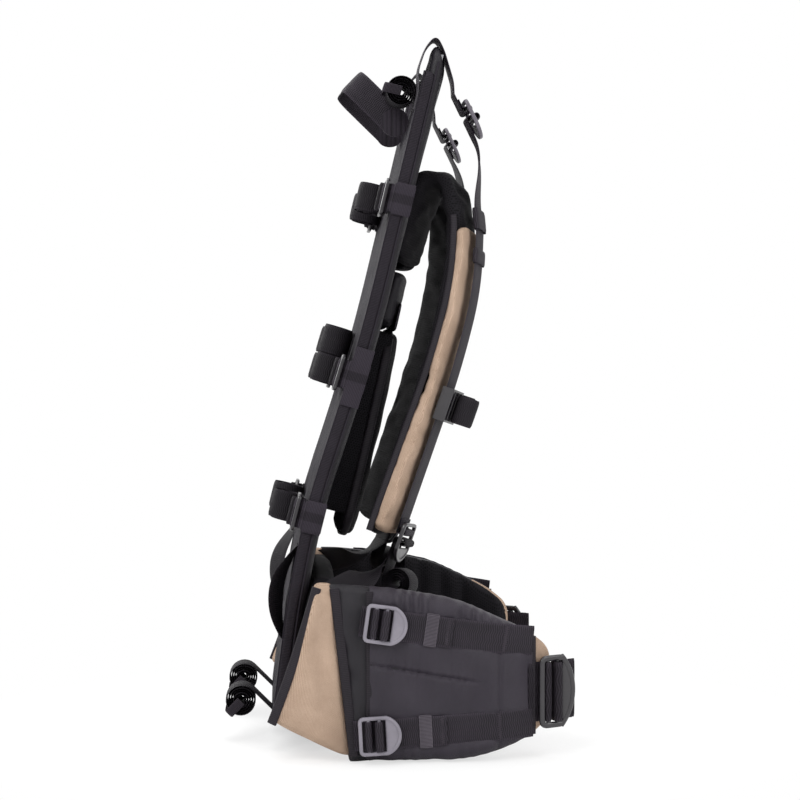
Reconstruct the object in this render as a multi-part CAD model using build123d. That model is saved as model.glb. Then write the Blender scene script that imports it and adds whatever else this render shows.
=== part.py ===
from build123d import *
import math
import os

# Load-carrying pack frame with shoulder harness and padded hip belt.
# Millimetres. +X is the wearer's front, +Y the wearer's left, +Z up.
# Pieces of the right side are modelled at -Y and mirrored for the left side.

# Webbing
WEB = 25.4                # one-inch webbing, width
BELT_WEB = 50.8           # two-inch belt webbing, width
WEB_T = 1.2               # webbing thickness
CLEAR = 0.3               # clearance between neighbouring pieces
ROLL_T = 1.6              # thickness of the webbing that leads to a roll
ROLL_PITCH = 2.15         # a roll's radius grows by this with each turn
ROLL_CORE = 3.2           # radius of the core that the turns are wound on

# Back frame: rear line in side view, top to bottom, and the layers in front of it
FRAME_W = 224             # width of the cover
FRAME_LOW = 24            # bottom edge of the frame
FRAME_TOP = 592           # highest point of the cover, over a stay
FRAME_LINE = [(20, FRAME_TOP + 19), (-42, 352), (-88, 212), (-104, 133), (-118, FRAME_LOW)]
FRAME_DIP = FRAME_TOP - 32        # top edge between the stays
FRAME_CORNER_R = 6
TOP_FALL = 4              # the cover falls from over the stay to its side edge by this
TOP_FALL_INNER = 5        # and to the sleeve's inner edge by this
DIP_RUN = 1.6             # slope down to the lower middle, from the stay inwards, in sleeve widths
COVER_T = 1.5             # rear fabric
BINDING_W = 3.5           # bound edge, across
BINDING_T = 6             # bound edge, front to rear
BINDING_TOP = FRAME_DIP - 20      # the thick bound edge ends here
SHEET_T = 3               # stiff plastic sheet
STAY_Y = FRAME_W / 2 - 21         # stay, distance from the centre plane
STAY_W = 25
STAY_T = 4
STAY_LOW = FRAME_LOW + 21
STAY_TOP = FRAME_TOP + 11
SLEEVE_W = 34
SLEEVE_T = 10
SLEEVE_WALL = 3           # padded wall of a stay sleeve, behind the stay

# Back pad and yoke: their middle lines are heights above the pad's top and distances ahead of the frame's rear line
PAD_TOP = 366
PAD_LOW = 178
PAD_AHEAD = [(6, 27.2), (-63, 33.1), (-153, 41.7), (-192, 39.7)]
PAD_W = 124
PAD_T = 18
PAD_CHANNELS = [-31, 0, 31]
CHANNEL_R = 4
PAD_EDGE_R = 6
YOKE_AHEAD = [(54, 21.7), (12, 18.8), (-8, 20.6)]
YOKE_T = 19
YOKE_BAND_H = 26
YOKE_BAND_T = 2

# Shoulder strap, as the side view shows it: middle line from the yoke over the shoulder
STRAP_LINE = [(1, PAD_TOP + 59), (10, 462), (22, 498), (42, 496), (53, 462), (50, 400), (32, 330), (-15, 197), (-21, 178)]
STRAP_Y = -35             # middle of the strap at the yoke
STRAP_X = -10             # the strap is turned about the line at this X
STRAP_Z = 497             # and leans to the side about this height
STRAP_W = 60
STRAP_PAD_T = 12
STRAP_COVER_T = 6
STRAP_EDGE_R = 5
STRAP_TURN = 22           # turn of the strap's outer face to the side
STRAP_SPLAY = 8           # lean of the strap to the side, downwards
STRAP_COVER_TOP = 452     # the tan cover starts below the shoulder
STRAP_BEND = 250          # largest bend radius: keeps the rail straight where the slider runs
RAIL_GAP = 5              # the rail stands off the cover
RAIL_TOP = 464
SLIDER_Z = 300            # sternum slider on the rail
SLIDER_H = 30
SLIDER_WALL = 1.6
SLIDER_TURNS = 3
STRAP_LOCK_Z = 190        # anchor bar of the lower lock
STRAP_ROLL_X = 43.5       # roll of the lower strap, past the lock's nose
STRAP_LOADED = 25.2       # loaded webbing leaves the lower lock here
STRAP_FREE = 27           # free webbing past the lower lock's anchor bar
BASE_STRAP_LEAVE = (1.7, -1)      # direction in which the base webbing leaves the lock, along and out
BASE_STRAP_Z = 135        # seam of the lower strap, between base panel and wing
BASE_STRAP_BACK = 9       # behind the wing's flex line

# Ladder-lock, in its own frame: x to the nose, y across, z away from the wearer
LOCK_BAR_R = 1.5
LOCK_PITCH = 9            # anchor bar to adjuster bar
LOCK_REAR = 8.5           # anchor bar to the outer face of the end bar
LOCK_WINDOW_REAR = 6
LOCK_WINDOW_FRONT = 14.5
LOCK_LENGTH = 36
LOCK_T = 3
LOCK_RIM = 3.2
LOCK_SIDE_GAP = 0.5
LOCK_STAND = 7.2          # height of the bars above what the lock lies on
LEG_STEP = 1.125          # upper leg above the lower leg, in webbing thicknesses
SLACK_GAP = 0.8           # threaded webbing behind the adjuster bar clears it by this
SLACK_RISE = 4.9          # slack over the adjuster bar lets the lock tilt
BELT_LOCK_RIM = 5

# Hip belt in plan: middle line of the right side, and its outlines in side view
BELT_T = 26
BELT_Y = 150
BELT_TOP = 150
BELT_BEND_X = 75          # where the wing starts to bend to the front
WING_END = (135, 122)
WING_BEND_R = 100
HINGE_TOP_X = -65.6       # flex line of the wing at the belt's top and at the floor
HINGE_FLOOR_X = -48.6
HINGE_GAP = 0.4
WING_TOP = [(-90, 150), (-28, 149), (39, 137), (72, 121), (95, 110), (112, 96), (117, 84)]
WING_BOTTOM = [(117, 36), (106, 23), (82, 10), (48, 0), (-90, 0)]
WING_CORNER_R = 60        # largest rounding of the outline's corners
BASE_REAR = -140          # the base is cut from blocks between these two, then to the frame's curve
BASE_FRONT = -30
BASE_BOTTOM = [(BASE_FRONT, 0), (-60, 3), (-95, 19), (BASE_REAR, 38)]
LUMBAR_HALF = FRAME_W / 2 + 6     # the lumbar pad ends here, the base panels follow
LUMBAR_FRONT = -60
LUMBAR_R = 12
WING_CHANNELS = [-20, 5, 30, 52]
EDGE_R = 7                # rounded edges of the belt's padding
WING_COVER_T = 1.5
COVER_START = -48
COVER_END = 96
COVER_MARGIN = 7

# Webbing rows on each wing: anchor bar position, slope, end of the free webbing and of the strap
ROWS = {"upper": (-33, 119, 8), "lower": (-38, 25, -3)}
ROW_FREE = 66
ROW_FLAT = 72
ROW_END = 92
KEEPER_X = 48
KEEPER_L = 11
KEEPER_T = 0.8
ANCHOR_LEG = 11

# Two-inch lock at the wing's end
BELT_LOCK_X = 106.5
BELT_LOCK_Z = 57
BELT_LEG = 17
BELT_TAIL = 31

# Load straps of the frame: height and tab height, and the places of the rolls along the frame's edge
SIDE_STRAPS = {"upper": (478, 28), "middle": (325, 52), "lower": (204, 28)}
SIDE_ROLLS = {"upper": [0], "middle": [0, -WEB - CLEAR], "lower": [0]}
SIDE_LOCK_STAND = 9
SIDE_TURNS = 5
SIDE_PAST = 2             # the webbing leads this far past the lock's nose before it is rolled
SIDE_LEG = 8              # leg under the nose
SIDE_LOOSE = 2            # the lead of a roll beside the lock ends this far short
TAB_T = 2
TAB_SEAM = 3              # the tab's leg round the anchor bar ends this far short of the frame's edge

# Rolled straps at the top and at the bottom
TOP_ROLL_Z = FRAME_TOP - 19       # where the roll touches the frame's back
TOP_LEAD = 26
BOTTOM_ROLL = (-146, 36)
BOTTOM_ROLL_Y = 56
BOTTOM_LEAD = 25
TURNS = 5
ROLL_KEEPER_W = 9
ROLL_KEEPER_T = 0.8

# Grab handle
HANDLE_Z = FRAME_TOP - 42         # height of its sewn root
HANDLE_ANGLE = 136
HANDLE_REACH = 56
HANDLE_HALF = 38
HANDLE_R = 12

# Load lifters
LIFTER_Y = -STAY_Y
LIFTER_LOW = FRAME_TOP - 36       # lower end of the strap's sewn part, behind the frame
LIFTER_OVER = [(19.5, FRAME_TOP + 19.4), (35.5, FRAME_TOP + 17.5)]
LIFTER_LOCK = (53, FRAME_TOP - 35)
LIFTER_LOCK_ANGLE = -64
LIFTER_LEAD = 17          # straight webbing before the lock's anchor bar
LIFTER_FREE = 21.6        # free webbing past the anchor bar

# Hanging loop on the frame's back, low beside each edge
LOOP_Y = 17 - FRAME_W / 2
LOOP_TOP = 178
LOOP_LOW = 97
LOOP_BULGE = [(-114, 148), (-116, 122)]

FAR = 400                 # longer than anything that is cut


# ---------------------------------------------------------------- outlines and strips

def unit(a, b):
    length = math.hypot(b[0] - a[0], b[1] - a[1])
    return (b[0] - a[0]) / length, (b[1] - a[1]) / length


def bend_radius(a, b, c, limit):
    """Radius of the arc that rounds corner b: 0.45 of the shorter run sets its tangent length."""
    d1, d2 = unit(a, b), unit(b, c)
    turn = math.acos(max(-1, min(1, d1[0] * d2[0] + d1[1] * d2[1])))
    run = min(math.dist(a, b), math.dist(b, c))
    return min(limit, 0.45 * run / math.tan(turn / 2))


def offset_corner(a, b, c, shift):
    """Corner b of a polyline whose sides are all moved to the left by shift."""
    d1, d2 = unit(a, b), unit(b, c)
    n1, n2 = (-d1[1], d1[0]), (-d2[1], d2[0])
    scale = shift / (1 + n1[0] * n2[0] + n1[1] * n2[1])
    return b[0] + (n1[0] + n2[0]) * scale, b[1] + (n1[1] + n2[1]) * scale


def offset_line(points, shift):
    """Polyline moved to the left by shift, with mitred corners."""
    first, last = unit(points[0], points[1]), unit(points[-2], points[-1])
    moved = [(points[0][0] - first[1] * shift, points[0][1] + first[0] * shift)]
    for a, b, c in zip(points, points[1:], points[2:]):
        moved.append(offset_corner(a, b, c, shift))
    moved.append((points[-1][0] - last[1] * shift, points[-1][1] + last[0] * shift))
    return moved


def strip(points, right, left, limit=1000):
    """Face between two offsets of a rounded polyline; offsets count to the left of its direction."""
    left_radii, right_radii = [0], [0]
    for a, b, c in zip(points, points[1:], points[2:]):
        d1, d2 = unit(a, b), unit(b, c)
        side = 1 if d1[0] * d2[1] - d1[1] * d2[0] > 0 else -1
        radius = bend_radius(a, b, c, limit)
        left_radii.append(radius - side * left)
        right_radii.append(radius - side * right)
    outline = offset_line(points, left) + offset_line(points, right)[::-1]
    radii = left_radii + [0] + [0] + right_radii[::-1]
    return make_face(FilletPolyline(outline, radius=radii, close=True))


def rounded(points, radius):
    return make_face(FilletPolyline(points, radius=radius, close=True))


def side_solid(face, width, y=0.0):
    """Side-view face (X, Z) made into a solid of the given width about y."""
    return Pos(0, y, 0) * extrude(Plane.XZ * face, width / 2, both=True)


def plan_solid(face, low, high):
    return Pos(0, 0, low) * extrude(face, high - low)


def front_solid(face):
    return extrude(Plane.YZ * face, FAR, both=True)


def left_of(solid):
    """The same piece on the wearer's left."""
    return mirror(solid, about=Plane.XZ)


def rim_edges(solid, direction, least=0.7):
    """Edges round the faces that look along the direction, but not those between two such faces."""
    faces = [face for face in solid.faces() if face.normal_at().dot(Vector(*direction)) > least]
    edges = [edge for face in faces for edge in face.edges()]
    return [edge for edge in edges if sum(edge.is_same(other) for other in edges) == 1]


def line_x(points, z):
    """X of a side-view polyline at height z."""
    for a, b in zip(points, points[1:]):
        if min(a[1], b[1]) <= z <= max(a[1], b[1]):
            return a[0] + (b[0] - a[0]) * (z - a[1]) / (b[1] - a[1])
    raise ValueError("height outside the line")


# ---------------------------------------------------------------- rolled webbing

def roll_reach(turns):
    """Distance from a roll's centre to its outer turn, where the webbing leaves along +y."""
    return ROLL_CORE + turns * ROLL_PITCH


def roll_face(turns, lead):
    """Plain disc as large as the wound webbing, with a straight lead from its outer turn."""
    reach = roll_reach(turns)
    return Circle(reach + ROLL_T / 2) + Pos(reach, lead / 2) * Rectangle(ROLL_T, lead)


def roll(centre, out, leave, turns, lead):
    """Roll of one-inch webbing; its end lies on the side "out" of the centre and runs along "leave"."""
    axis = Vector(*out).cross(Vector(*leave))
    plane = Plane(origin=centre, x_dir=out, z_dir=(axis.X, axis.Y, axis.Z))
    return extrude(plane * roll_face(turns, lead), WEB / 2, both=True)


# ---------------------------------------------------------------- ladder-locks

LOOP_R = LOCK_BAR_R + CLEAR + WEB_T / 2          # middle line of the webbing round the anchor bar
LEG_LOW = CLEAR + WEB_T / 2 - LOCK_STAND         # lower and upper leg of the threaded webbing
LEG_HIGH = LEG_LOW + LEG_STEP * WEB_T
SLACK_REAR = LOCK_PITCH - LOCK_BAR_R - SLACK_GAP - WEB_T / 2
SLACK_FRONT = LOCK_PITCH + LOCK_BAR_R + CLEAR + WEB_T / 2
SLACK_TOP = SLACK_RISE + WEB_T / 2


def anchor_path(leg):
    """Middle line of the webbing that carries the lock: out, round the anchor bar and back."""
    return [(-leg, LEG_LOW), (LOOP_R, LEG_LOW), (LOOP_R, LOOP_R), (-LOOP_R, LOOP_R),
            (-LOOP_R, LEG_HIGH), (-leg, LEG_HIGH)]


def threaded_path(loaded, free):
    """Middle line of the webbing through the lock: in below the nose, over the adjuster bar, out again."""
    return [(loaded, LEG_LOW), (SLACK_REAR, LEG_LOW), (SLACK_REAR, SLACK_TOP), (SLACK_FRONT, SLACK_TOP),
            (SLACK_FRONT, LEG_HIGH), (free, LEG_HIGH)]


def webbing(path, width, limit=1000):
    return side_solid(strip(path, -WEB_T / 2, WEB_T / 2, limit), width)


def ribbon(start, start_run, start_across, end, end_run, end_across, steps=6):
    """Twisted webbing between two ends: a curve with the given directions, in straight sections."""
    start, end = Vector(*start), Vector(*end)
    start_run, end_run = Vector(*start_run).normalized(), Vector(*end_run).normalized()
    reach = (end - start).length / 3
    near, far = start + start_run * reach, end - end_run * reach
    sections = []
    for k in range(steps + 1):
        t = k / steps
        s = 1 - t
        point = start * s**3 + near * (3 * s * s * t) + far * (3 * s * t * t) + end * t**3
        run = (near - start) * (s * s) + (far - near) * (2 * s * t) + (end - far) * (t * t)
        across = Vector(*start_across) * s + Vector(*end_across) * t
        across = across - run * (across.dot(run) / run.dot(run))
        sections.append(Plane(origin=point, x_dir=across, z_dir=run) * Rectangle(WEB, WEB_T))
    return loft(sections, ruled=True)


def ladder_lock(width, rim):
    """D-shaped frame with two bars; the origin is the anchor bar's middle."""
    inner = width / 2 + LOCK_SIDE_GAP
    outer = inner + rim
    shoulder = LOCK_WINDOW_FRONT + 1
    nose = LOCK_LENGTH - LOCK_REAR
    outline = Polyline((-LOCK_REAR, 0), (-LOCK_REAR, outer), (shoulder, outer))
    arc = ThreePointArc((shoulder, outer), (nose, 0), (shoulder, -outer))
    back = Polyline((shoulder, -outer), (-LOCK_REAR, -outer), (-LOCK_REAR, 0))
    plate = plan_solid(make_face(outline.edges() + [arc.edge()] + back.edges()), -LOCK_T / 2, LOCK_T / 2)
    corners = plate.edges().filter_by(Axis.Z).sort_by(Axis.X)[:2]
    plate = fillet(corners, rim)
    window_length = LOCK_WINDOW_FRONT + LOCK_WINDOW_REAR
    window = Pos((LOCK_WINDOW_FRONT - LOCK_WINDOW_REAR) / 2, 0, 0) * Box(window_length, 2 * inner, 2 * LOCK_T)
    bars = [Pos(x, 0, 0) * Rot(90, 0, 0) * Cylinder(LOCK_BAR_R, 2 * inner) for x in (0, LOCK_PITCH)]
    return plate - window + bars


def lock_place(origin, along, out):
    return Plane(origin=origin, x_dir=along, z_dir=out).location


# ---------------------------------------------------------------- back frame

def frame_layer(rear, front, width, y=0.0):
    """Layer that follows the frame's curve, between two distances in front of its rear line."""
    return side_solid(strip(FRAME_LINE, rear, front), width, y)


def frame_outline(inset, low):
    """Front view of the frame: raised over the stays, lower between them."""
    half = FRAME_W / 2 - inset
    top, dip = FRAME_TOP - inset, FRAME_DIP - inset
    shoulder, inner = STAY_Y - SLEEVE_W / 2, STAY_Y - DIP_RUN * SLEEVE_W
    side = [(half, low), (half, top - TOP_FALL), (STAY_Y, top), (shoulder, top - TOP_FALL_INNER), (inner, dip)]
    return rounded(side + [(-y, z) for y, z in side[::-1]], FRAME_CORNER_R)


SLEEVE_REAR = COVER_T + 2 * CLEAR + SHEET_T
SLEEVE_FRONT = SLEEVE_REAR + SLEEVE_T
STAY_REAR = SLEEVE_REAR + SLEEVE_WALL


def make_frame():
    sheet = frame_layer(COVER_T + CLEAR, COVER_T + CLEAR + SHEET_T, FRAME_W)
    sheet = sheet & front_solid(frame_outline(BINDING_W + CLEAR, FRAME_LOW + BINDING_W))
    cover = frame_layer(0, COVER_T, FRAME_W) & front_solid(frame_outline(0, FRAME_LOW))
    edge = frame_layer(0, BINDING_T, FRAME_W) & front_solid(frame_outline(0, FRAME_LOW))
    edge = edge & front_solid(Rectangle(2 * FAR, 2 * BINDING_TOP))
    cover = cover + (edge - front_solid(Pos(0, FRAME_TOP / 2) * Rectangle(FRAME_W - 2 * BINDING_W, 2 * FRAME_TOP)))
    return {"frame_sheet": sheet, "frame_cover": cover}


def height_band(low, high):
    return front_solid(Pos(0, (low + high) / 2) * Rectangle(2 * FAR, high - low))


def make_stays():
    stays, sleeves = [], []
    for y in (-STAY_Y, STAY_Y):
        stay = frame_layer(STAY_REAR, STAY_REAR + STAY_T, STAY_W, y) & height_band(STAY_LOW, STAY_TOP)
        slot = frame_layer(STAY_REAR - CLEAR, STAY_REAR + STAY_T + CLEAR, STAY_W + 2 * CLEAR, y)
        slot = slot & height_band(STAY_LOW - CLEAR, STAY_TOP + CLEAR)
        sleeve = frame_layer(SLEEVE_REAR, SLEEVE_FRONT, SLEEVE_W, y)
        sleeve = sleeve & height_band(STAY_LOW - SLEEVE_WALL, STAY_TOP + SLEEVE_WALL)
        stays.append(stay)
        sleeves.append(sleeve - slot)
    return {"stays": stays, "stay_sleeves": sleeves}


def ahead_of_frame(points):
    """Side-view line from heights above the back pad's top and distances ahead of the frame's rear line."""
    return [(line_x(FRAME_LINE, PAD_TOP + rise) + ahead, PAD_TOP + rise) for rise, ahead in points]


def make_back_pad():
    line = ahead_of_frame(PAD_AHEAD)
    pad = side_solid(strip(line, -PAD_T / 2, PAD_T / 2), PAD_W)
    outline = Pos(0, (PAD_LOW + PAD_TOP) / 2) * RectangleRounded(PAD_W, PAD_TOP - PAD_LOW, PAD_W / 4)
    pad = (pad & front_solid(outline)).solids()[0]
    pad = fillet(rim_edges(pad, (1, 0, 0)), PAD_EDGE_R)
    for y in PAD_CHANNELS:
        pad = pad - side_solid(strip(line, PAD_T / 2 - CHANNEL_R, PAD_T), 2 * CHANNEL_R, y)
    return pad


def make_yoke():
    """Padded yoke between the stay sleeves, above the back pad, with a band across its front."""
    width = 2 * (STAY_Y - SLEEVE_W / 2 - CLEAR)
    low = PAD_TOP + CLEAR
    front = YOKE_T / 2 + CLEAR
    line = ahead_of_frame(YOKE_AHEAD)
    yoke = side_solid(strip(line, -YOKE_T / 2, YOKE_T / 2), width) & height_band(low, FAR * 2)
    band = side_solid(strip(line, front, front + YOKE_BAND_T), width)
    return {"yoke": yoke, "yoke_band": band & height_band(low, low + YOKE_BAND_H)}


# ---------------------------------------------------------------- shoulder straps

def strap_place():
    """From the strap's own upright plane to its place on the wearer's right."""
    turn = Pos(STRAP_X, STRAP_Y, STRAP_Z) * Rot(-STRAP_SPLAY, 0, 0) * Rot(0, 0, -STRAP_TURN)
    return turn * Pos(-STRAP_X, 0, -STRAP_Z)


def strap_line(points):
    """Side-view points in the strap's own plane, which the side view shows shortened by its turn."""
    widen = 1 / math.cos(math.radians(STRAP_TURN))
    return [(STRAP_X + (x - STRAP_X) * widen, z) for x, z in points]


def strap_frame(z, shift):
    """Point at height z on the strap's straight front run, moved outwards, with the run's direction."""
    high, low = strap_line(STRAP_LINE)[-3:-1]
    along = unit(high, low)
    out = (-along[1], along[0])
    x = high[0] + along[0] * (z - high[1]) / along[1]
    return (x + out[0] * shift, z + out[1] * shift), along, out


def in_side(origin, along, out, points):
    """Points of the lock's own frame written in side view."""
    return [(origin[0] + x * along[0] + z * out[0], origin[1] + x * along[1] + z * out[1]) for x, z in points]


STRAP_T = STRAP_PAD_T + CLEAR + STRAP_COVER_T
RAIL_MID = STRAP_T / 2 + RAIL_GAP + WEB_T / 2


def strap_lock_frame():
    """Lower lock: its anchor webbing carries on the rail."""
    return strap_frame(STRAP_LOCK_Z, RAIL_MID - LEG_LOW)


def make_strap():
    """Pad, tan cover and webbing rail of one shoulder strap, in the strap's own plane."""
    split = STRAP_PAD_T - STRAP_T / 2
    line = strap_line(STRAP_LINE)
    whole = side_solid(strip(line, -STRAP_T / 2, STRAP_T / 2, STRAP_BEND), STRAP_W)
    sides = whole.faces().filter_by(Axis.Y).edges()
    whole = fillet([edge for edge in sides if edge.length > STRAP_T + 1], STRAP_EDGE_R)
    middle, low = line[2][0], line[0][1] - STRAP_T
    zone = [(middle, STRAP_COVER_TOP), (FAR, STRAP_COVER_TOP), (FAR, 0), (-FAR, 0), (-FAR, low), (middle, low)]
    zone = side_solid(make_face(Polyline(zone, close=True)), FAR)
    pad = whole - (side_solid(strip(line, split, STRAP_T, STRAP_BEND), FAR) & zone)
    cover = side_solid(strip(line, split + CLEAR, STRAP_T, STRAP_BEND), FAR) & (Pos(0, 0, -CLEAR) * zone)
    cover = whole & cover
    origin, along, out = strap_lock_frame()
    rail_points = offset_line(line, RAIL_MID)[3:-2]
    rail_points = [(line_x(rail_points, RAIL_TOP), RAIL_TOP)] + [p for p in rail_points if p[1] < RAIL_TOP - 5]
    rail_points += in_side(origin, along, out, anchor_path(ANCHOR_LEG)[1:])
    rail = side_solid(strip(rail_points, -WEB_T / 2, WEB_T / 2, STRAP_BEND), WEB)
    return pad, cover, rail


def slider_place():
    """Slider on the rail: x outwards, y across, z up along the rail."""
    origin, along, out = strap_frame(SLIDER_Z, RAIL_MID)
    return Plane(origin=(origin[0], 0, origin[1]), x_dir=(out[0], 0, out[1]), z_dir=(-along[0], 0, -along[1]))


def make_slider():
    """Loop round the rail with a two-bar plate in front, and the rolled strap that hangs in it."""
    half_x, half_y = WEB_T / 2 + CLEAR, WEB / 2 + CLEAR
    plate_x = half_x + 3 * SLIDER_WALL + LOCK_T / 2
    front = plate_x + LOCK_T / 2
    rear = half_x + SLIDER_WALL
    outer = Pos((front - rear) / 2, 0, 0) * Box(front + rear, 2 * (half_y + SLIDER_WALL), SLIDER_H)
    bore = Box(2 * half_x, 2 * half_y, 2 * SLIDER_H)
    room_x = plate_x - LOCK_T / 2 - half_x - SLIDER_WALL
    room = Pos(half_x + SLIDER_WALL + room_x / 2, 0, 0) * Box(room_x, 2 * half_y, 2 * SLIDER_H)
    window_h = WEB + 2 * LOCK_SIDE_GAP
    window = Pos(plate_x, 0, 0) * Box(2 * LOCK_T, 2 * half_y - 2 * SLIDER_WALL, window_h)
    bars = [Pos(plate_x, y, 0) * Cylinder(LOCK_BAR_R, window_h) for y in (-LOCK_PITCH / 2, LOCK_PITCH / 2)]
    slider = outer - bore - room - window + bars
    reach = roll_reach(SLIDER_TURNS)
    centre_x = front + CLEAR + reach + ROLL_T / 2
    lead = centre_x - half_x - SLIDER_WALL - CLEAR
    side = half_y - SLIDER_WALL - ROLL_T
    hanging = roll((centre_x, side - reach, 0), (0, 1, 0), (-1, 0, 0), SLIDER_TURNS, lead)
    return slider, hanging


def make_strap_lower():
    """Webbing through the lower lock with its roll, in the strap's own plane."""
    origin, along, out = strap_lock_frame()
    place = lock_place((origin[0], 0, origin[1]), (along[0], 0, along[1]), (out[0], 0, out[1]))
    loop = place * webbing(threaded_path(STRAP_LOADED, STRAP_FREE), WEB)
    reach = roll_reach(TURNS)
    lead = STRAP_ROLL_X - STRAP_FREE
    rolled = roll((STRAP_ROLL_X, 0, LEG_HIGH + reach), (0, 0, -1), (-1, 0, 0), TURNS, lead)
    return place, [loop, place * rolled]


def base_strap(lock):
    """Twisted webbing from the lower lock down to the seam behind the wing."""
    leave, fall = BASE_STRAP_LEAVE
    begin = lock * Pos(STRAP_LOADED + CLEAR, 0, LEG_LOW)
    run = lock * Pos(STRAP_LOADED + CLEAR + leave, 0, LEG_LOW + fall)
    side = lock * Pos(STRAP_LOADED + CLEAR, 1, LEG_LOW)
    inside = -BELT_Y + BELT_T / 2 + CLEAR + WEB_T / 2
    end = (hinge_x(BASE_STRAP_Z) - BASE_STRAP_BACK, inside, BASE_STRAP_Z)
    first = run.position - begin.position
    last = Vector(*end) - begin.position
    across = side.position - begin.position
    return ribbon(begin.position, first, across, end, last, Vector(0, 1, 0).cross(last).normalized())


# ---------------------------------------------------------------- hip belt

def hinge_x(z):
    """X of the wing's flex line at height z."""
    return HINGE_FLOOR_X + (HINGE_TOP_X - HINGE_FLOOR_X) * z / BELT_TOP


def ahead_of_hinge(shift):
    """Everything ahead of the flex line moved by shift across itself."""
    lean = math.cos(math.atan((HINGE_FLOOR_X - HINGE_TOP_X) / BELT_TOP))
    low, high = hinge_x(-FAR) + shift / lean, hinge_x(FAR) + shift / lean
    return side_solid(make_face(Polyline((low, -FAR), (FAR, -FAR), (FAR, FAR), (high, FAR), close=True)), 2 * FAR)


def wing_layer(outer, inner):
    """Upright layer of the wing between two distances outside its middle line."""
    bend = WING_BEND_R
    line = [(-FAR / 2, -BELT_Y), (BELT_BEND_X, -BELT_Y), (WING_END[0], -WING_END[1])]
    return plan_solid(strip(line, -outer, -inner, bend), 0, BELT_TOP)


def wing_outline(margin=0.0):
    points = [(x, z - margin) for x, z in WING_TOP] + [(x, z + margin) for x, z in WING_BOTTOM]
    corners = zip(points[-1:] + points, points, points[1:] + points[:1])
    radii = [bend_radius(before, corner, after, WING_CORNER_R) for before, corner, after in corners]
    return side_solid(make_face(FilletPolyline(points, radius=radii, close=True)), 2 * FAR)


def make_wing():
    """Pad of the wing with rounded edges, a round knuckle at its flex line and channels inside."""
    half = BELT_T / 2
    pad = (wing_layer(half, -half) & wing_outline() & ahead_of_hinge(0)).solids()[0]
    edges = rim_edges(pad, (0, -1, 0)) + rim_edges(pad, (0, 1, 0))
    free = [edge for edge in edges if max(abs(v.X - hinge_x(v.Z)) for v in edge.vertices()) > CLEAR]
    pad = fillet(free, EDGE_R)
    middle = BELT_TOP / 2
    axis = Plane(origin=(hinge_x(middle), -BELT_Y, middle), z_dir=(HINGE_TOP_X - HINGE_FLOOR_X, 0, BELT_TOP))
    knuckle = (axis.location * Cylinder(half, 2 * BELT_TOP)) & wing_outline()
    pad = pad + knuckle
    for x in WING_CHANNELS:
        pad = pad - Pos(x, half - BELT_Y, middle) * Cylinder(CHANNEL_R, 2 * BELT_TOP)
    cover = wing_layer(half + CLEAR + WING_COVER_T, half + CLEAR) & wing_outline(COVER_MARGIN)
    span = COVER_END - COVER_START
    cover = cover & Pos(COVER_START + span / 2, 0, 0) * Box(span, 2 * FAR, 2 * FAR)
    return pad, cover & ahead_of_hinge(CLEAR)


def make_base():
    """Lumbar pad against the frame, and the tan base panel beside it."""
    rear = frame_layer(-FAR, SLEEVE_FRONT + CLEAR, 2 * FAR)
    bottom = Polyline(BASE_BOTTOM + [(BASE_REAR, BELT_TOP), (BASE_FRONT, BELT_TOP)], close=True)
    bottom = side_solid(make_face(bottom), 2 * FAR)
    depth = LUMBAR_FRONT - BASE_REAR
    block = Pos(LUMBAR_FRONT - depth / 2, 0, 0) * RectangleRounded(depth, 2 * LUMBAR_HALF, LUMBAR_R)
    lumbar = (plan_solid(block, 0, BELT_TOP) & bottom).solids()[0]
    lumbar = fillet(lumbar.faces().sort_by(Axis.Z)[-1].edges(), EDGE_R) - rear
    half = BELT_T / 2
    near, inner = -BELT_Y - half, -LUMBAR_HALF - CLEAR
    notch = LUMBAR_FRONT - LUMBAR_R
    plan = [(BASE_REAR, near), (0, near), (0, -BELT_Y + half), (notch, -BELT_Y + half), (notch - LUMBAR_R, inner)]
    plan.append((BASE_REAR, inner))
    panel = plan_solid(make_face(Polyline(plan, close=True)), 0, BELT_TOP) & bottom
    panel = panel - ahead_of_hinge(-half - HINGE_GAP)
    return lumbar, panel - rear


def row_frame(name):
    x, z, slope = ROWS[name]
    angle = math.radians(slope)
    surface = BELT_Y + BELT_T / 2 + CLEAR + WING_COVER_T
    return lock_place((x, -surface - LOCK_STAND, z), (math.cos(angle), 0, -math.sin(angle)), (0, -1, 0))


def row_webbing(name):
    """Anchor of the row's lock, and the strap from the lock round the wing to its sewn end."""
    x, z, slope = ROWS[name]
    place = row_frame(name)
    anchor = place * webbing(anchor_path(ANCHOR_LEG), WEB)
    threaded = place * webbing(threaded_path(ROW_FLAT, ROW_FREE), WEB)
    base = BELT_T / 2 + 2 * CLEAR + WING_COVER_T
    band = Rot(0, slope, 0) * Pos(FAR / 2 + ROW_FLAT - 1, 0, 0) * Box(FAR, FAR * 2, WEB)
    curved = wing_layer(base + WEB_T, base) & (Pos(x, 0, z) * band)
    curved = curved & Pos(ROW_END - FAR, 0, 0) * Box(2 * FAR, 2 * FAR, 2 * FAR)
    return [anchor, threaded + curved]


def row_keeper(name):
    """Elastic band over both legs of the strap, open to the wing's cover."""
    half = WEB / 2 + CLEAR
    top = LEG_HIGH + WEB_T / 2 + CLEAR
    height = top + LOCK_STAND
    outer = Pos(KEEPER_X, 0, (height + KEEPER_T) / 2 - LOCK_STAND)
    outer = outer * Box(KEEPER_L, 2 * (half + KEEPER_T), height + KEEPER_T)
    inner = Pos(KEEPER_X, 0, height / 2 - LOCK_STAND) * Box(2 * KEEPER_L, 2 * half, height)
    return row_frame(name) * (outer - inner)


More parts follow.
